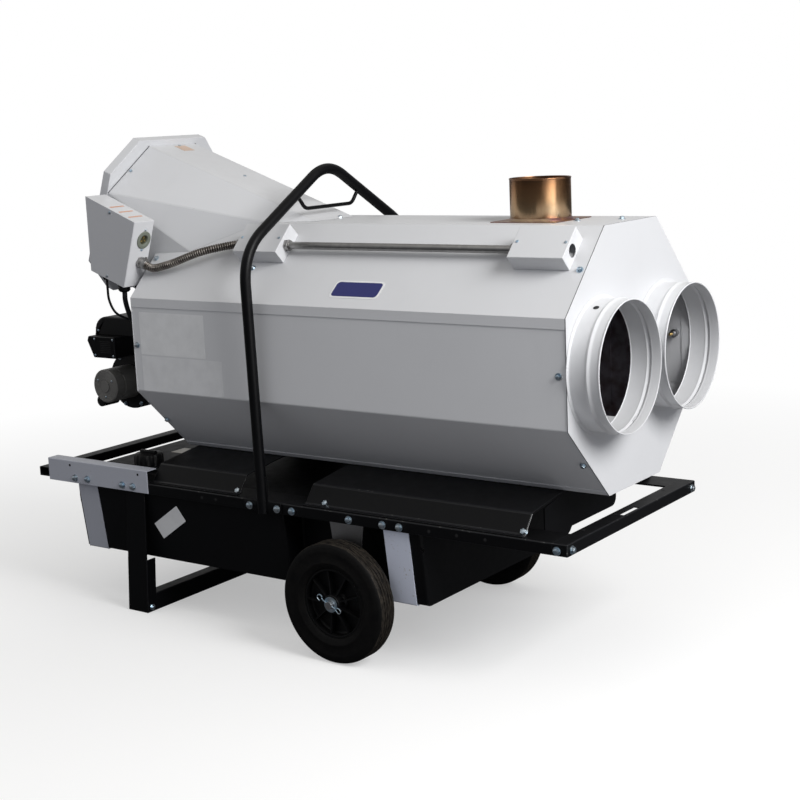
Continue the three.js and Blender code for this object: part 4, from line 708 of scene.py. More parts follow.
dressed("upper_cover side_panel_left side_panel_right", white, 3.2)
dressed("bottom_pan", white, 3.0)
dressed("front_panel rear_panel", white, 2.0, 0.45)

cabinet_screws = [
    ((-974.4, -240.8, 977.4), SLANT_OUT), ((-15.4, -224.9, 993.4), SLANT_OUT), ((-1337, -224.9, 993.4), SLANT_OUT),
    ((-23, -320.2, 764.4), NEAR), ((-1339, -320.2, 766.8), NEAR),
    ((-18, -224.6, 541.3), LOW_SLANT_OUT), ((-1342, -224.6, 541.3), LOW_SLANT_OUT),
    ((-133, -22, CABINET_TOP), UP), ((-46, 41, CABINET_TOP), UP), ((-888, 28, CABINET_TOP), UP),
]
cabinet_screws += [((x, -y, z), (0, -out[1], out[2])) for (x, y, z), out in cabinet_screws if abs(y) > 100]
bolts("cabinet_screws", cabinet_screws, 5.6, 4.8, 8.5, 1.4)


def collar(side, word, seam):
    """A rolled collar: foot ring on the panel, raised bead, inner groove and rolled rim."""
    name, centre = f"outlet_collar_{word}", Vector((0, side * COLLAR_Y, COLLAR_Z))
    r, inside, bead = COLLAR_RADIUS, COLLAR_RADIUS - 1.5, 48.0
    profile = [
        (151.2, -1.2), (151.2, 0.3), (inside, 1.0), (inside, bead - 9), (inside - 0.6, bead - 6), (inside + 3.4, bead),
        (inside - 0.6, bead + 6), (inside, bead + 9), (inside, 77.6), (inside + 0.6, COLLAR_LENGTH),
        (r + 0.8, COLLAR_LENGTH), (r + 1.9, 77.9), (r + 1.9, 76.0), (r + 0.9, 74.8), (r, 74.2),
        (r, bead + 8), (r + 0.9, bead + 5), (r + 4, bead), (r + 0.9, bead - 5), (r, bead - 8),
        (r, 3.2), (r + 1.2, 1.8), (r + 9, 1.5), (r + 9, 0.3), (153.4, 0.3), (152.8, -1.2)]
    Form().lathe("x", centre, profile, 144, 1.2).stand_for(name, white, 60)
    rivets = [(centre + Vector((1.8, y, z)), AHEAD) for y, z in around(158.8, (45, 135, 225, 315))]
    screws(name + "_rivets", rivets, 2.4, 1.0, white)
    (y, z), = around(r + 0.1, (seam,))
    place = Matrix.Translation(centre + Vector((0, y, z))) @ turned(seam - 90, "X")
    Form().block((3.5, -9, -0.35), (73, 9, 0.35), round_by=0.2).move(place).show(name + "_lap_seam", white)


collar(-1, "left", -62)
collar(1, "right", -118)
hole_out = Vector((0, -225.4 + COLLAR_Y, 909.4 - COLLAR_Z)).normalized()
hole_place = Matrix.Translation(Vector((24, -COLLAR_Y, COLLAR_Z)) + hole_out * (COLLAR_RADIUS + 0.1))
hole_place @= hole_out.to_track_quat("Z", "X").to_matrix().to_4x4()
# The sensor hole is a dark disc: painted shade inside the hole.
Form().lathe("z", ORIGIN, disc(7, 0, 0.5), 32).move(hole_place).show("collar_sensor_hole", hole_painted_shade)

# A thin dark line round the cabinet where the front panel meets the covers.
octagon = [
    (-TOP_Y, CABINET_TOP), (TOP_Y, CABINET_TOP), (SIDE_Y, SIDE_HIGH), (SIDE_Y, SIDE_LOW),
    (TOP_Y, CABINET_LOW), (-TOP_Y, CABINET_LOW), (-SIDE_Y, SIDE_LOW), (-SIDE_Y, SIDE_HIGH)]
middle = Vector((0, (CABINET_TOP + CABINET_LOW) / 2))
form = Form()
rings = []
for x, reach in ((-2.6, -1.0), (-2.6, 0.22), (-1.5, 0.22), (-1.5, -1.0)):
    ring = [Vector(p) + (Vector(p) - middle).normalized() * reach * 1.08 for p in octagon]
    rings.append([form.bm.verts.new((x, *p)) for p in ring])
form.skin(rings, True)
form.show("front_joint", seam_dark)

# A dark heat-tinted plate between the collars. It is partly a plate of the heater and partly painted shade: it darkens
# the view through the left collar where the inside lies in shade.
form = Form()
divider = [(-3, 612), (-3, 985), (-146, 985), (-146, 812), (-238, 812), (-238, 612)]
form.extrude([(x, -0.8, z) for x, z in divider], (0, 1.6, 0))
for x in (-60, -120):
    form.block((x - 1.2, -4.0, 640), (x + 1.2, -0.6, 960), round_by=0.4)
form.show("divider_plate_and_painted_shade", hot_steel)

# ---------------------------------------------------------------- flue

FLUE = (FLUE_X, 0, 0)
Form().lathe("z", FLUE, [
    (73.2, 1024), (75, 1024), (75, 1186), (75.8, 1187.2), (75.8, 1189.4), (75, FLUE_TOP), (73.4, FLUE_TOP),
    (73.2, 1189)], 128, 0.5).stand_for("flue_pipe", flue_metal)
Form().lathe("z", FLUE, [(74.8, 1088.2), (80.5, 1088.3), (78.6, 1090.4), (76.2, 1093.0), (74.8, 1094.6)],
             128, 0.8).show("flue_weld", flue_plate_metal)
dressed("flue_plate", flue_plate_metal, 1.0)
seam_place = turned(128, "Z") @ Matrix.Translation((75.3, 0, 0))
seam = Form().block((-0.5, -9, 1089), (0.5, 9, 1189.4), round_by=0.3)
seam.move(Matrix.Translation(FLUE) @ seam_place).show("flue_lap_seam", flue_metal)

# ---------------------------------------------------------------- heating core, seen through the collars

dressed("combustion_chamber heat_exchanger", hot_steel, 2.0)
dressed("core_cradle", galvanised, 2.0)
SENSOR_AXIS = (-40, 0, 773)
Form().lathe("y", SENSOR_AXIS, [
    (0, 292.4), (3.7, 292.4), (7.5, 294), (7.5, 302.4), (10.8, 302.6), (10.8, 305), (9, 306), (9, 318.1), (0, 318.1)],
    32, 0.4).stand_for("overheat_sensor", steel)
Form().lathe("y", SENSOR_AXIS, [(0, 280.6), (2.4, 280.6), (3.8, 282), (3.8, 292.6), (0, 292.6)],
             32, 0.4).show("overheat_sensor_tip", brass)

# ---------------------------------------------------------------- fan hood

dressed("fan_hood", white, 4.0)
dressed("inlet_flange", white, 1.6)
hood_screws = [(hood_point(10.4, s * 160.7, 82.7), Vector((0, s, 0)) - HOOD_DOWN) for s in (-1, 1)]
hood_screws += [(hood_point(12, 18, 16.9), -HOOD_DOWN), (hood_point(275, 12, 16.8), -HOOD_DOWN)]
hood_screws += [(hood_point(12, s * 226, 225), (0, s, 0)) for s in (-1, 1)]
screws("hood_screws", hood_screws, 4.6, 2.6)
form = Form()
for s in (-1, 1):
    form.sweep([hood_point(0.9, s * 94.2, 16.4), hood_point(0.9, s * 225.0, 147.6)], 0.9, 8)
form.show("flange_joint", seam_dark)

# Fan behind its guard, made about +X and set on the hood's axis.
FAN_PLACE = Matrix.Translation(hood_point(0, 0, FAN_DROP)) @ Matrix.Rotation(HOOD_TILT, 4, "Y")
GUARD_X = -4.1
SPOKES = [22.5 + 45 * k for k in range(8)]
form = Form()
for k in range(10):
    ring = [Vector((GUARD_X, y, z)) for y, z in around(26 + k * 20, range(0, 361, 5))]
    form.sweep(ring, 1.6 if k < 9 else 2.4, 8, False)
for y, z in around(1, SPOKES):
    form.sweep([Vector((GUARD_X + 0.2, r * y, r * z)) for r in (24, 118, 212)], 2.1, 10)
bmesh.ops.remove_doubles(form.bm, verts=form.bm.verts, dist=0.02)
form.lathe("x", (GUARD_X, 0, 0), disc(26, -1.4, 1.4), 40).move(FAN_PLACE)
form.show("fan_guard_wires", black, hides="fan_guard", sharp=60)
guard_bolts = [(FAN_PLACE @ Vector((-1.9, y, z)), -HOOD_FORWARD) for y, z in around(213, SPOKES)]
bolts("fan_guard_bolts", guard_bolts, 4.5, 3, 7, 1)
dressed("fan_impeller", aluminium, 1.2, 0.5)
dressed("fan_motor_bracket", galvanised, 1.5)
form = Form().lathe("x", ORIGIN, [
    (8.4, 62), (25.6, 62), (25.6, 70), (58, 70), (63.6, 76), (63.6, 184), (58, 189.8), (0.01, 189.8), (0.01, 100),
    (8.4, 100)], 96, 2)
form.move(FAN_PLACE).stand_for("fan_motor", black, 40)

# ---------------------------------------------------------------- control box and conduits

dressed("control_box", white, 1.6, 0.35)
dressed("control_box_lid", lid_grey, 1.2, 0.35)
box_rear_top = Vector((BOX_REAR, 0, BOX_TOP_Z))
box_front_top = box_rear_top + Vector((math.cos(BOX_SLOPE), 0, -math.sin(BOX_SLOPE))) * BOX_LONG
box_front_low = box_front_top + Vector((-math.sin(HOOD_TILT) * BOX_LEAN, 0, -math.cos(HOOD_TILT))) * BOX_TALL
box_down = (box_front_low - box_front_top).normalized()
box_out = Vector((-box_down.z, 0, box_down.x))
box_low_rear = Vector((BOX_REAR, 0, box_front_low.z + (box_front_low.x - BOX_REAR) * math.tan(HOOD_TILT)))


def on_box_front(drop, y=SOCKET_Y, out=0.0):
    return box_front_top + box_down * drop + box_out * out + Vector((0, y, 0))


def out_of_box(drop):
    """Turns a form made about +X at the origin onto the box's front face."""
    turn = Matrix((box_out, -NEAR, -box_down)).transposed().to_4x4()
    return Matrix.Translation(on_box_front(drop)) @ turn


lid_screws = []
for middle, inwards in (((box_rear_top + box_front_top) / 2, -9), ((box_low_rear + box_front_low) / 2, 9)):
    lid_screws.append((middle + Vector((0, BOX_FACE - 0.1, inwards)), NEAR))
screws("lid_screws", lid_screws, 4.2, 2.2)

form = Form().lathe("x", ORIGIN, [
    (0, -18), (12.6, -18), (13, -17.4), (13, 1.2), (14.2, 2.2), (15.4, 3), (22.6, 3), (24.6, 2.2), (25, 0.35),
    (16, 0.3), (16, -24), (0, -24)], 64, 0.5)
form.move(out_of_box(SOCKET_DROP)).stand_for("thermostat_socket", socket_green, 50)
Form().lathe("x", ORIGIN, disc(12.8, -17.9, -3.0), 48).move(out_of_box(SOCKET_DROP)).show("socket_insert", socket_dark)
form = Form()
for turn, (y, z) in zip((90, 210, 330), around(7.2, (90, 210, 330))):
    form.block((-3.4, y - 3.2, z - 1.0), (-0.6, y + 3.2, z + 1.0), turned(turn, "X"), 0.2)
form.move(out_of_box(SOCKET_DROP)).show("socket_contacts", brass)
socket_screws = [(on_box_front(drop, y, 0.1), box_out) for drop, y in ((25.5, -270), (82.5, -273))]
screws("socket_screws", socket_screws, 3.6, 2.0)

HEXAGON = range(0, 360, 60)
form = Form().extrude([(0.35, y, z) for y, z in around(17, HEXAGON)], (8.5, 0, 0))
bmesh.ops.bevel(form.bm, geom=list(form.bm.edges), offset=0.8, segments=2, affect="EDGES", profile=0.5)
form.lathe("x", ORIGIN, [
    (7, 8.0), (13.6, 8.0), (13.6, 13), (12.6, 14), (14, 15), (14, 25.4), (13, 26.2), (7, 26.2)], 48, 0.7)
form.block((15.5, -3.2, 12.5), (24.5, 3.2, 18.5), round_by=0.8)
form.lathe("z", (20, 0, 18.4), disc(3.6, 0, 2.6), 20, 0.5)
form.move(out_of_box(CONNECTOR_DROP)).stand_for("box_conduit_connector", galvanised, 40)

dressed("junction_box_rear junction_box_front", white, 2.0, 0.35)
screws("junction_screws", [((x, *slant(87, 44.1)), SLANT_OUT) for x in (-1018, -893, -178, -50)], 3.8, 2.2)
conduit_y, conduit_z = slant(92, 20)
CONDUIT = (0, conduit_y, conduit_z)
form = Form().lathe("x", CONDUIT, tube_profile(8, 9.5, -893, -177), 48, 0.3)
for start, way in ((-881, 1), (-189, -1)):
    hexagon = [(start + way * 0.35, conduit_y + y, conduit_z + z) for y, z in around(16.4, HEXAGON)]
    form.extrude(hexagon, (way * 5, 0, 0))
    form.lathe("x", (start, conduit_y, conduit_z), [
        (9.4, way * 5), (14.2, way * 5.2), (14.2, way * 11.6), (12, way * 12), (9.4, way * 12)], 40, 0.6)
form.stand_for("conduit_tube", galvanised, 40)

flex_path = spline([
    on_box_front(CONNECTOR_DROP, out=26.3), on_box_front(CONNECTOR_DROP, out=48.3), (-1248, *slant(169.3, 25.3)),
    (-1146, *slant(130, 33)), (CONDUIT_END - 22, conduit_y, conduit_z), (CONDUIT_END, conduit_y, conduit_z)], 120)
Form().sweep(flex_path, 8.4, 20).show("flex_conduit_core", flex_shade, sharp=60)
flex_lines = [(i, i + 1) for i in range(len(flex_path) - 1)]
RINGS.grow("flex_conduit_ribs", flex_path, flex_lines, hides="flex_conduit", sharp=70)
Form().lathe("x", (CONDUIT_END, conduit_y, conduit_z), [(11, -14), (15.4, -14), (15.4, -0.3), (11, -0.3)],
             6, 0.6).show("flex_end_nut", galvanised)

# Glands and cables under the box.


def under_box(share, dx=0, y=0, dz=0):
    return box_low_rear.lerp(box_front_low, share) + Vector((dx, y, dz))


def gland(name, share, y, r, length):
    """A ribbed dome nut on a flange. Gives the point where its cable starts."""
    x = under_box(share).x
    top = under_box(share).z - r * math.tan(HOOD_TILT) - 0.3
    shape = ((0, 0), (1, 0), (1, 0.34), (0.8, 0.36), (0.8, 0.42), (0.92, 0.46), (0.92, 0.8), (0.7, 0.97), (0, 1))
    form = Form().lathe("z", (x, y, 0), [(r * a, top - length * b) for a, b in shape], 40, 0.8)
    for dx, dy in around(r * 0.93, range(0, 360, 30)):
        corner = Vector((x + dx, y + dy, top))
        form.block(corner - Vector((0.9, 0.9, length * 0.78)), corner + Vector((0.9, 0.9, -length * 0.47)),
                   round_by=0.3)
    form.stand_for(name, plastic, 45)
    return Vector((x, y, top - length - 0.3))


def cable(route, radius, count, sides):
    return Form().sweep(spline(route, count), radius, sides)


def from_gland(start, *steps):
    return [start, *[(start.x + dx, y, start.z + dz) for dx, y, dz in steps]]


small = gland("cable_gland_small", 0.2, -285, 10, 16)
large = gland("cable_gland_large", 0.7, -280, 17, 24)
cable(from_gland(
    small, (0, -285, -22), (1, -283, -58), (8, -268, -94), (25, -240, -114), (33, -200, -126), (12, -160, -140),
    (0, -136, -148), (0, -112.6, -148)), 3.4, 90, 16).stand_for("control_cable", cable_black, 50)
cable(from_gland(
    large, (0, -280, -24), (-4, -262, -70), (-14, -225, -115), (-40, -180, -142), (-75, -145, -152),
    (-75, -112.6, -152)), 6.9, 90, 20).stand_for("supply_cable", cable_black, 50)
sensor_steps = ((0, -262, -2), (1, -262, -30), (-6, -255, -60), (-20, -225, -95), (-28, -170, -120))
sensor_route = [*[under_box(0.93, *step) for step in sensor_steps], (-1442, -112.5, 778)]
cable(sensor_route, 4.2, 60, 14).show("sensor_cable", cable_black, sharp=50)

# ---------------------------------------------------------------- burner

MOTOR = Vector((MOTOR_X, MOTOR_FACE, MOTOR_Z))
profile = [(0, -3), (17.4, -3), (18, -2.2), (18, 0)]
for k in range(6):
    r = 21 + k * 4.6
    profile += [(r, 0), (r + 0.8, -0.7), (r + 1.6, -0.7), (r + 2.4, 0)]
profile += [
    (47, 0), (50, 2.4), (50, 30), (48.6, 31), (48.6, 36), (50, 37), (50, 103), (48, 104), (6.4, 104), (6.4, 74),
    (0, 74)]
Form().lathe("y", MOTOR, profile).stand_for("burner_motor", cast_grey, 40)
Form().lathe("y", MOTOR + Vector((-46, 0, -52)), [(0, 20), (15.4, 20), (17, 21.6), (17, 82.4), (15.4, 84), (0, 84)],
             48, 0.4).show("motor_capacitor", plastic)
form = Form().block(MOTOR + Vector((-52, 44, -56)), MOTOR + Vector((-22, 58, -22)), round_by=1.2)
for turn in (45, 135, 225, 315):
    (x, z), = around(44, (turn,))
    form.block(MOTOR + Vector((x - 6, 24, z - 6)), MOTOR + Vector((x + 6, 40, z + 6)),
               turned(-turn, "Y"), 1.2)
form.show("motor_lugs", cast_grey)
screws("motor_screws", [(MOTOR + Vector((x, -0.4, z)), NEAR) for x, z in around(33, (30, 150, 270))], 3.4, 2)
dressed("burner_scroll", plastic, 4.0, 1.2)
dressed("burner_blast_tube", galvanised, 1.2)
dressed("burner_impeller", galvanised, 0.8, 0.3)
dressed("burner_cover", plastic, 5.0, 0.8)
dressed("ignition_box", black, 2.4, 0.8)
dressed("fuel_pump", aluminium, 1.6, 0.6)
Form().lathe("x", (-1727, -110, 719.7), [(0, 0), (5.6, 0), (7, 1.4), (7, 16), (0, 16)], 40, 0.4).show(
    "reset_button_cap", red_plastic, body="button", hides="reset_button")
Form().lathe("x", (-1726, -110, 719.7), [(7.4, -2.2), (10.5, -2.2), (11.5, -1.0), (11.5, 1.0), (7.4, 1.0)],
             40, 0.4).show("reset_button_bezel", plastic)
# Dark slots stand for the vents: painted shade inside them.
form = Form()
for k in range(7):
    form.block((-1672, -148.7, 700 + k * 5.4), (-1628, -147.7, 702.4 + k * 5.4), round_by=0.3)
form.show("ignition_box_vents", hole_painted_shade)
burner_screws = [((x, -112.1, 760), NEAR) for x in (-1712, -1460)]
burner_screws += [((x, -148.1, z), NEAR) for x in (-1694, -1619) for z in (692, 740)]
screws("burner_screws", burner_screws, 3.6, 2.2)
scroll_ring = around(78, (60, 120, 200, 250, 300, 350))
bolts("scroll_bolts", [((MOTOR_X + x, -35.9, MOTOR_Z + z), NEAR) for x, z in scroll_ring], 4.5, 4, 6.5, 1)

# ---------------------------------------------------------------- frame, decks, hoop

dressed("frame_rail_left frame_rail_right", black, 3.0, 0.6)
dressed("front_crossbar rear_crossbar", black, 2.6, 0.6)
dressed("rail_extension_left rail_extension_right", strap_grey, 3.0, 0.5)
dressed("deck_front deck_rear", black, 4.0, 0.6)
apron = [
    (-100, 447.5), (-100, 357), (-112, 344), (-128, 336), (-231.4, 334), (-231.4, 428), (-170, 440.5), (-132, 444.5)]
Form().extrude([(-123.2, y, z) for y, z in apron], (3.4, 0, 0)).show("deck_apron_near", black)

rail_bolts = [((x, -RAIL_Y, RAIL_Z), NEAR) for x in (-945, -852, -807, -623, -519, -468, -27)]
rail_bolts += [((x, -342.4, z), NEAR) for x, z in ((-1609, 369), (-1558, 370.5), (-1418, 369), (-1377, 368.5))]
rail_bolts += [((x, -y, z), -NEAR) for (x, y, z), _ in rail_bolts]
for s in (-1, 1):
    rail_bolts += [((x, s * 313.8, 390.0), (0, s * 0.7789, 0.6272)) for x in (-1010, -714, -128)]
rail_bolts += [((0.1, s * 318, 366), AHEAD) for s in (-1, 1)]
FRAME_BOLT = (7.5, 5.8, 10.5, 1.6)
bolts("frame_bolts", rail_bolts, *FRAME_BOLT)


def side_holes(form, places, y, z, radius, sides):
    """Shallow dark discs that stand for holes, on both sides of the frame. Their dark is painted shade inside the
    holes.
    """
    for x in places:
        for s in (-1, 1):
            form.lathe("y", (x, s * y, z), disc(radius, min(0, s * 0.3), max(0, s * 0.3)), sides)
    return form


# Dark discs for the frame's holes: painted shade inside them.
form = Form()
for x, y in ((-28, -52), (-28, 210), (-28, -210)):
    form.lathe("z", (x, y, 382.05), disc(4.5, 0, 0.3), 24)
side_holes(form, (-1500, -1120, -1070, -380, -300, -220), 339.05, 366, 4.2, 24).show("frame_holes", hole_painted_shade)
side_holes(Form(), (-1628, -1355), 342.35, 405, 3.6, 20).show("extension_holes", hole_painted_shade)

# The hoop, without the part that would run inside the rails.
hoop = [(HOOP_X, -341, 350), (HOOP_X, -358, 1032), (HOOP_X, 0, 1239), (HOOP_X, 358, 1032), (HOOP_X, 341, 350)]
hoop_mesh = Form().sweep(rounded_line(hoop, (90, 75, 90), 14), 14, 40).mesh("lifting_hoop_skin")
room_mesh = Form().block((HOOP_X - 100, -339.3, 0), (HOOP_X + 100, 339.3, 412)).mesh("room_for_rails")
holder, room = linked("hoop_whole", hoop_mesh), linked("room_for_rails", room_mesh)
trim = holder.modifiers.new("room", "BOOLEAN")
trim.operation, trim.object, trim.solver = "DIFFERENCE", room, "EXACT"
show("lifting_hoop_skin", evaluated(holder), black, hides="lifting_hoop", sharp=50)
bpy.data.objects.remove(room)
eye = [(HOOP_X, -130, 1155), (HOOP_X, -101, 1121), (HOOP_X, 101, 1121), (HOOP_X, 130, 1155)]
Form().sweep(rounded_line(eye, (14, 14), 8), 5).show("hoop_eye_bar", black, sharp=50)
form = Form()
for s in (-1, 1):
    y0, y1 = sorted((s * 339.3, s * 344.3))
    form.block((HOOP_X - 62, y0, 354), (HOOP_X + 62, y1, 382), round_by=1.5)
    form.block((HOOP_X + 10, y0, 378), (HOOP_X + 18, y1, 448), round_by=1.2)
form.show("hoop_foot_plates", black)
hoop_bolts = [((HOOP_X + dx, s * 344.4, 367), (0, s, 0)) for dx in (-43, 50) for s in (-1, 1)]
bolts("hoop_bolts", hoop_bolts, *FRAME_BOLT)
form = Form()
for s in (-1, 1):
    for k in range(14):
        bead = Matrix.Translation((HOOP_X - 13 + k * 2.0, s * 345.4, 383.5))
        bmesh.ops.create_uvsphere(form.bm, u_segments=8, v_segments=6, radius=2.6, matrix=bead)
form.show("hoop_welds", black)

# ---------------------------------------------------------------- fuel tank

dressed("fuel_tank", tank_black, 7.0, 2.0, 9.0, 4)
dressed("fuel_manifold", plastic, 1.5, 0.6)
CAP_SIDES, CAP_FLUTES = 96, 16
form = Form()
rings = []
for z, r, depth in ((420.2, 34.4, 0), (398.5, 34.4, 0), (398.5, 42.5, 0), (400.5, 43.6, 2.6), (424, 43.0, 2.6),
                    (429, 40.5, 1.0), (430.3, 37.5, 0)):
    ring = []
    for turn in [k / CAP_SIDES * math.tau for k in range(CAP_SIDES)]:
        reach = r - depth * (0.5 + 0.5 * math.cos(turn * CAP_FLUTES))
        ring.append(form.bm.verts.new((CAP_X + reach * math.cos(turn), CAP_Y + reach * math.sin(turn), z)))
    rings.append(ring)
form.skin(rings)
form.bm.faces.new(rings[0])
form.bm.faces.new(rings[-1])
form.block((CAP_X - 30, CAP_Y - 6, 429.5), (CAP_X + 30, CAP_Y + 6, 438.2), round_by=2.4)
form.stand_for("tank_cap", plastic, 40)
Form().lathe("z", (CAP_X, CAP_Y, 0), tube_profile(36.5, 52, 397.8, 398.1), 64, 0.1).show("filler_ring", tank_black)
# The front strap wears the brighter copy of the strap paint: painted light.
dressed("tank_strap_front", strap_painted_light, 5.0, 0.5, 5.0)
dressed("tank_strap_rear", strap_grey, 5.0, 0.5, 5.0)

tank_up = Vector((0, -27, 218.7)).normalized()
patch("tank_label", Vector((-1266, -318.6, 271)) + tank_up * 2.8, AHEAD * 0.833 + tank_up * 0.554,
      tank_up * 0.833 - AHEAD * 0.554, 116, 50, label_silver, thickness=0.3)
patch("tank_top_label", (-1466, -34, 398.2), AHEAD, -NEAR, 62, 58, label_pale, thickness=0.3)

# ---------------------------------------------------------------- axle and wheels

TYRE_RADIUS, TYRE_HALF = 156.5, 33.0
# Half of the tyre's section: radius, and distance from the middle as a share of half its width.
TYRE_SECTION = [
    (90.3, 0.72), (91.5, 0.78), (98, 0.9), (104, 0.95), (106, 0.985), (109, 0.985), (111, 0.95), (128, 1.0),
    (134, 0.99), (136, 1.0), (138, 0.99), (146, 0.955), (150.5, 0.9), (154.2, 0.8), (156.0, 0.66),
    (TYRE_RADIUS, 0.60), (TYRE_RADIUS, 0.50), (153.6, 0.47), (153.6, 0.42), (TYRE_RADIUS, 0.39), (TYRE_RADIUS, 0.22),
    (153.6, 0.19), (153.6, 0.14), (TYRE_RADIUS, 0.11)]
RIM_HALF = [
    (10.4, -31), (22.6, -31), (24, -30), (25, -8), (30, -2.8), (78, -3.2), (83.6, -5), (84.5, -23.4), (90, -23.4)]


def wheel(side, word):
    centre = Vector((WHEEL_X, side * WHEEL_Y, WHEEL_Z))
    near = [(a, -b * TYRE_HALF) for a, b in TYRE_SECTION]
    form = Form().lathe("y", centre, near + [(a, -h) for a, h in reversed(near)], 160)
    for face in form.bm.faces:
        middle = face.calc_center_median() - centre
        on_tread = math.hypot(middle.x, middle.z) > 150 and abs(middle.y) < 0.85 * TYRE_HALF
        face.material_index = 1 if on_tread else 0
    form.stand_for("tyre_" + word, [tyre_side, tyre_tread], 50)
    form = Form().lathe("y", centre, RIM_HALF + [(a, -h) for a, h in reversed(RIM_HALF)], 96, 1.2)
    for k in range(9):
        turn = turned((k + 0.5) * 40, "Y")
        for far in (-1, 1):
            web = [(22, far * 2), (22, far * 27), (40, far * 23), (85, far * 19.5), (85, far * 2)]
            form.extrude([centre + turn @ Vector((a, b, -1.9)) for a, b in web], turn @ Vector((0, 0, 3.8)))
    form.stand_for("rim_" + word, wheel_plastic, 40)


wheel(-1, "left")
wheel(1, "right")
dressed("axle", steel, 1.5, 0.5)
AXLE_END = 396.4
CLIP = [
    (-34, 8), (-40, 12), (-42, 19), (-36, 25), (-28, 22), (-27, 14), (-18, 8), (-8, 4), (0, 0), (9, -4), (17, -9),
    (23, -16), (30, -20), (36, -15), (34, -8), (27, -5), (20, -9)]
for side, word in ((-1, "left"), (1, "right")):
    low, high = sorted((0, side * 2.2))
    Form().lathe("y", (WHEEL_X, side * AXLE_END, WHEEL_Z), tube_profile(10.3, 20, low, high), 56, 0.5).show(
        f"axle_washer_{word}", zinc)
    out = side * (AXLE_END + 4.6)
    route = [(WHEEL_X + a * 0.92, out + side * 0.6 * math.sin(i), WHEEL_Z + b * 0.92) for i, (a, b) in enumerate(CLIP)]
    Form().sweep(spline(route, 110), 1.5, 10).show(f"axle_clip_{word}", zinc, sharp=50)

# ---------------------------------------------------------------- stand

dressed("stand", black, 2.4, 0.6)
bolts("stand_bolts", [((-1361.9, s * 318, 14), AHEAD) for s in (-1, 1)], 6.5, 5, 9.5, 1.4)

# ---------------------------------------------------------------- blank labels

patch("side_label_upper", (-1208, -320.3, 800), AHEAD, UP, 236, 116, label_white)
patch("side_label_lower", (-1180, -320.3, 690), AHEAD, UP, 292, 96, label_silver)
slant_up = Vector((0, SIDE_Y - TOP_Y, CABINET_TOP - SIDE_HIGH)).normalized()
patch("badge_rim", (-606, *slant(211, 0.1)), AHEAD, slant_up, 150, 54, label_white, 12, 0.5, 0.12)
patch("badge_plate", (-606, *slant(211, 0.55)), AHEAD, slant_up, 140, 44, navy, 9, 0.4, 0.12)
for k, share in enumerate((0.445, 0.63, 0.82)):
    place = box_rear_top.lerp(box_front_top, share) + Vector((0, -280, 0.15))
    patch(f"box_top_film_{k + 1}", place, box_front_top - box_rear_top, -NEAR, 6, 52, label_orange, 1)
patch("hood_film", hood_point(34, 16, 16.8), HOOD_FORWARD, -NEAR, 42, 44, label_peach)

# ---------------------------------------------------------------- floor and light

SKY, KEY, FILL, BACK, CARD = 0.335, 210.0, 0.25, 0.28, 3.4
FLOOR_REACH, FLOOR_Z = 14000, -0.6
WIDE_ANGLE = math.radians(60)


def set_floor():
    """White to the camera, dark to other rays, and a bright card far to +X for reflections only."""
    look = Finish("pale_floor", (0.90, 0.90, 0.90), 0.9)
    ray = look.add("ShaderNodeLightPath").outputs
    seen, glossy = ray["Is Camera Ray"], ray["Is Glossy Ray"]
    lit_tone = look.mix(glossy, (0.20, 0.20, 0.205), (0.07, 0.07, 0.075))
    look.set(look.shader, "Base Color", look.mix(seen, lit_tone, (0.97, 0.97, 0.97)))
    reach = look.add("ShaderNodeVectorMath", {0: look.where}, operation="LENGTH").outputs["Value"]
    far = look.times(look.ramp(look.maths("DIVIDE", reach, 10.0), (0.08, 0.42), (0.36, 1.0)), seen)
    place = look.add("ShaderNodeSeparateXYZ", {"Vector": look.where}).outputs
    card_x = look.ramp(look.maths("DIVIDE", place["X"], 10.0), (0.24, 0.0), (0.32, 1.0))
    card_y = look.ramp(look.maths("DIVIDE", look.plus(place["Y"], 6.0), 10.0),
                       (0.27, 0.0), (0.37, 1.0), (0.55, 1.0), (0.65, 0.0))
    card = look.times(look.times(card_x, card_y), glossy)
    strength = look.plus(seen, look.times(card, CARD))
    glow = look.out("ShaderNodeEmission", {"Color": (1, 1, 1, 1), "Strength": strength})
    both = {0: look.maths("MAXIMUM", far, card), 1: look.shader.outputs[0], 2: glow}
    look.set(look.tree.nodes["Material Output"], "Surface", look.out("ShaderNodeMixShader", both))
    mesh = bpy.data.meshes.new("floor")
    corners = [(sx * FLOOR_REACH, sy * FLOOR_REACH, FLOOR_Z) for sx, sy in ((-1, -1), (1, -1), (1, 1), (-1, 1))]
    mesh.from_pydata([metres(p) for p in corners], [], [(0, 1, 2, 3)])
    mesh.materials.append(look.material)
    linked("floor", mesh)


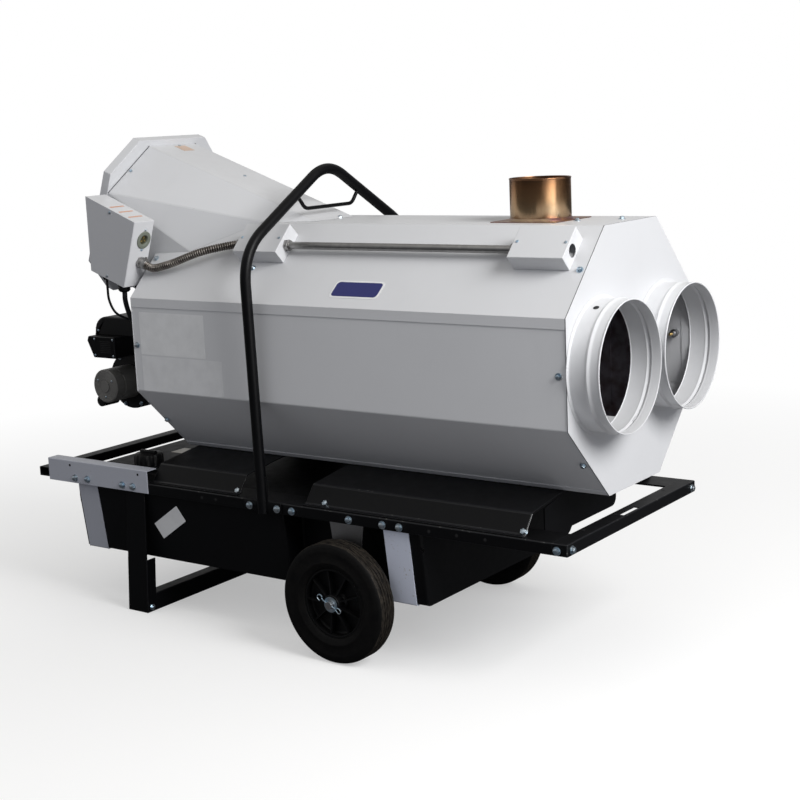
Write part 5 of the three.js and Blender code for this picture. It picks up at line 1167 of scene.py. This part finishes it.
def set_sky():
    """A soft sky for light, dim boxes for reflections and plain white for the camera."""
    world = bpy.data.worlds.new("studio")
    bpy.context.scene.world = world
    world.use_nodes = True
    sky = Tree(world.node_tree)
    ray = sky.add("ShaderNodeLightPath").outputs
    way = sky.add("ShaderNodeTexCoord").outputs["Generated"]
    parts = sky.add("ShaderNodeSeparateXYZ", {0: way}).outputs

    def between(axis, low, high):
        inputs = {"Value": parts[axis], "From Min": low, "From Max": high}
        return sky.out("ShaderNodeMapRange", inputs, interpolation_type="SMOOTHSTEP")

    low, high = (SKY * 0.90, SKY * 0.955, SKY * 1.11), (SKY * 1.28, SKY * 1.25, SKY * 1.17)
    soft = sky.mix(between("Z", 0.0, 0.9), low, high)
    boxes = sky.mix(between("Y", -0.45, -0.8), (0.06, 0.06, 0.065), (0.16, 0.165, 0.175))
    boxes = sky.mix(between("X", -0.55, -0.8), boxes, (0.5, 0.5, 0.5))
    boxes = sky.mix(between("X", 0.72, 0.86), boxes, (1.3, 1.3, 1.3))
    boxes = sky.mix(between("Z", 0.5, 0.85), boxes, (0.55, 0.54, 0.52))
    lit = sky.mix(ray["Is Glossy Ray"], soft, boxes)
    lit = sky.mix(ray["Is Transmission Ray"], lit, (1, 1, 1))
    lit = sky.mix(ray["Is Camera Ray"], lit, (1, 1, 1))
    sky.set(sky.tree.nodes["Background"], "Color", lit)


def set_lamps():
    key = bpy.data.lights.new("key", "AREA")
    key.shape, key.size, key.energy = "DISK", 2.4, KEY
    fill, back = bpy.data.lights.new("fill", "SUN"), bpy.data.lights.new("back", "SUN")
    fill.energy, back.energy, fill.angle, back.angle = FILL, BACK, WIDE_ANGLE, WIDE_ANGLE
    for lamp, way, reach in (
            (key, (0.80, -0.20, 0.57), 4.0), (fill, (-0.20, -0.66, 0.72), 1.0), (back, (-0.25, 0.9, 0.25), 1.0)):
        placed = linked(lamp.name, lamp)
        placed.rotation_euler = Vector(way).to_track_quat("Z", "Y").to_euler()
        placed.location = metres((0, 0, COLLAR_Z)) + Vector(way).normalized() * reach


set_floor()
set_sky()
set_lamps()
bpy.context.scene.view_settings.view_transform = "Standard"
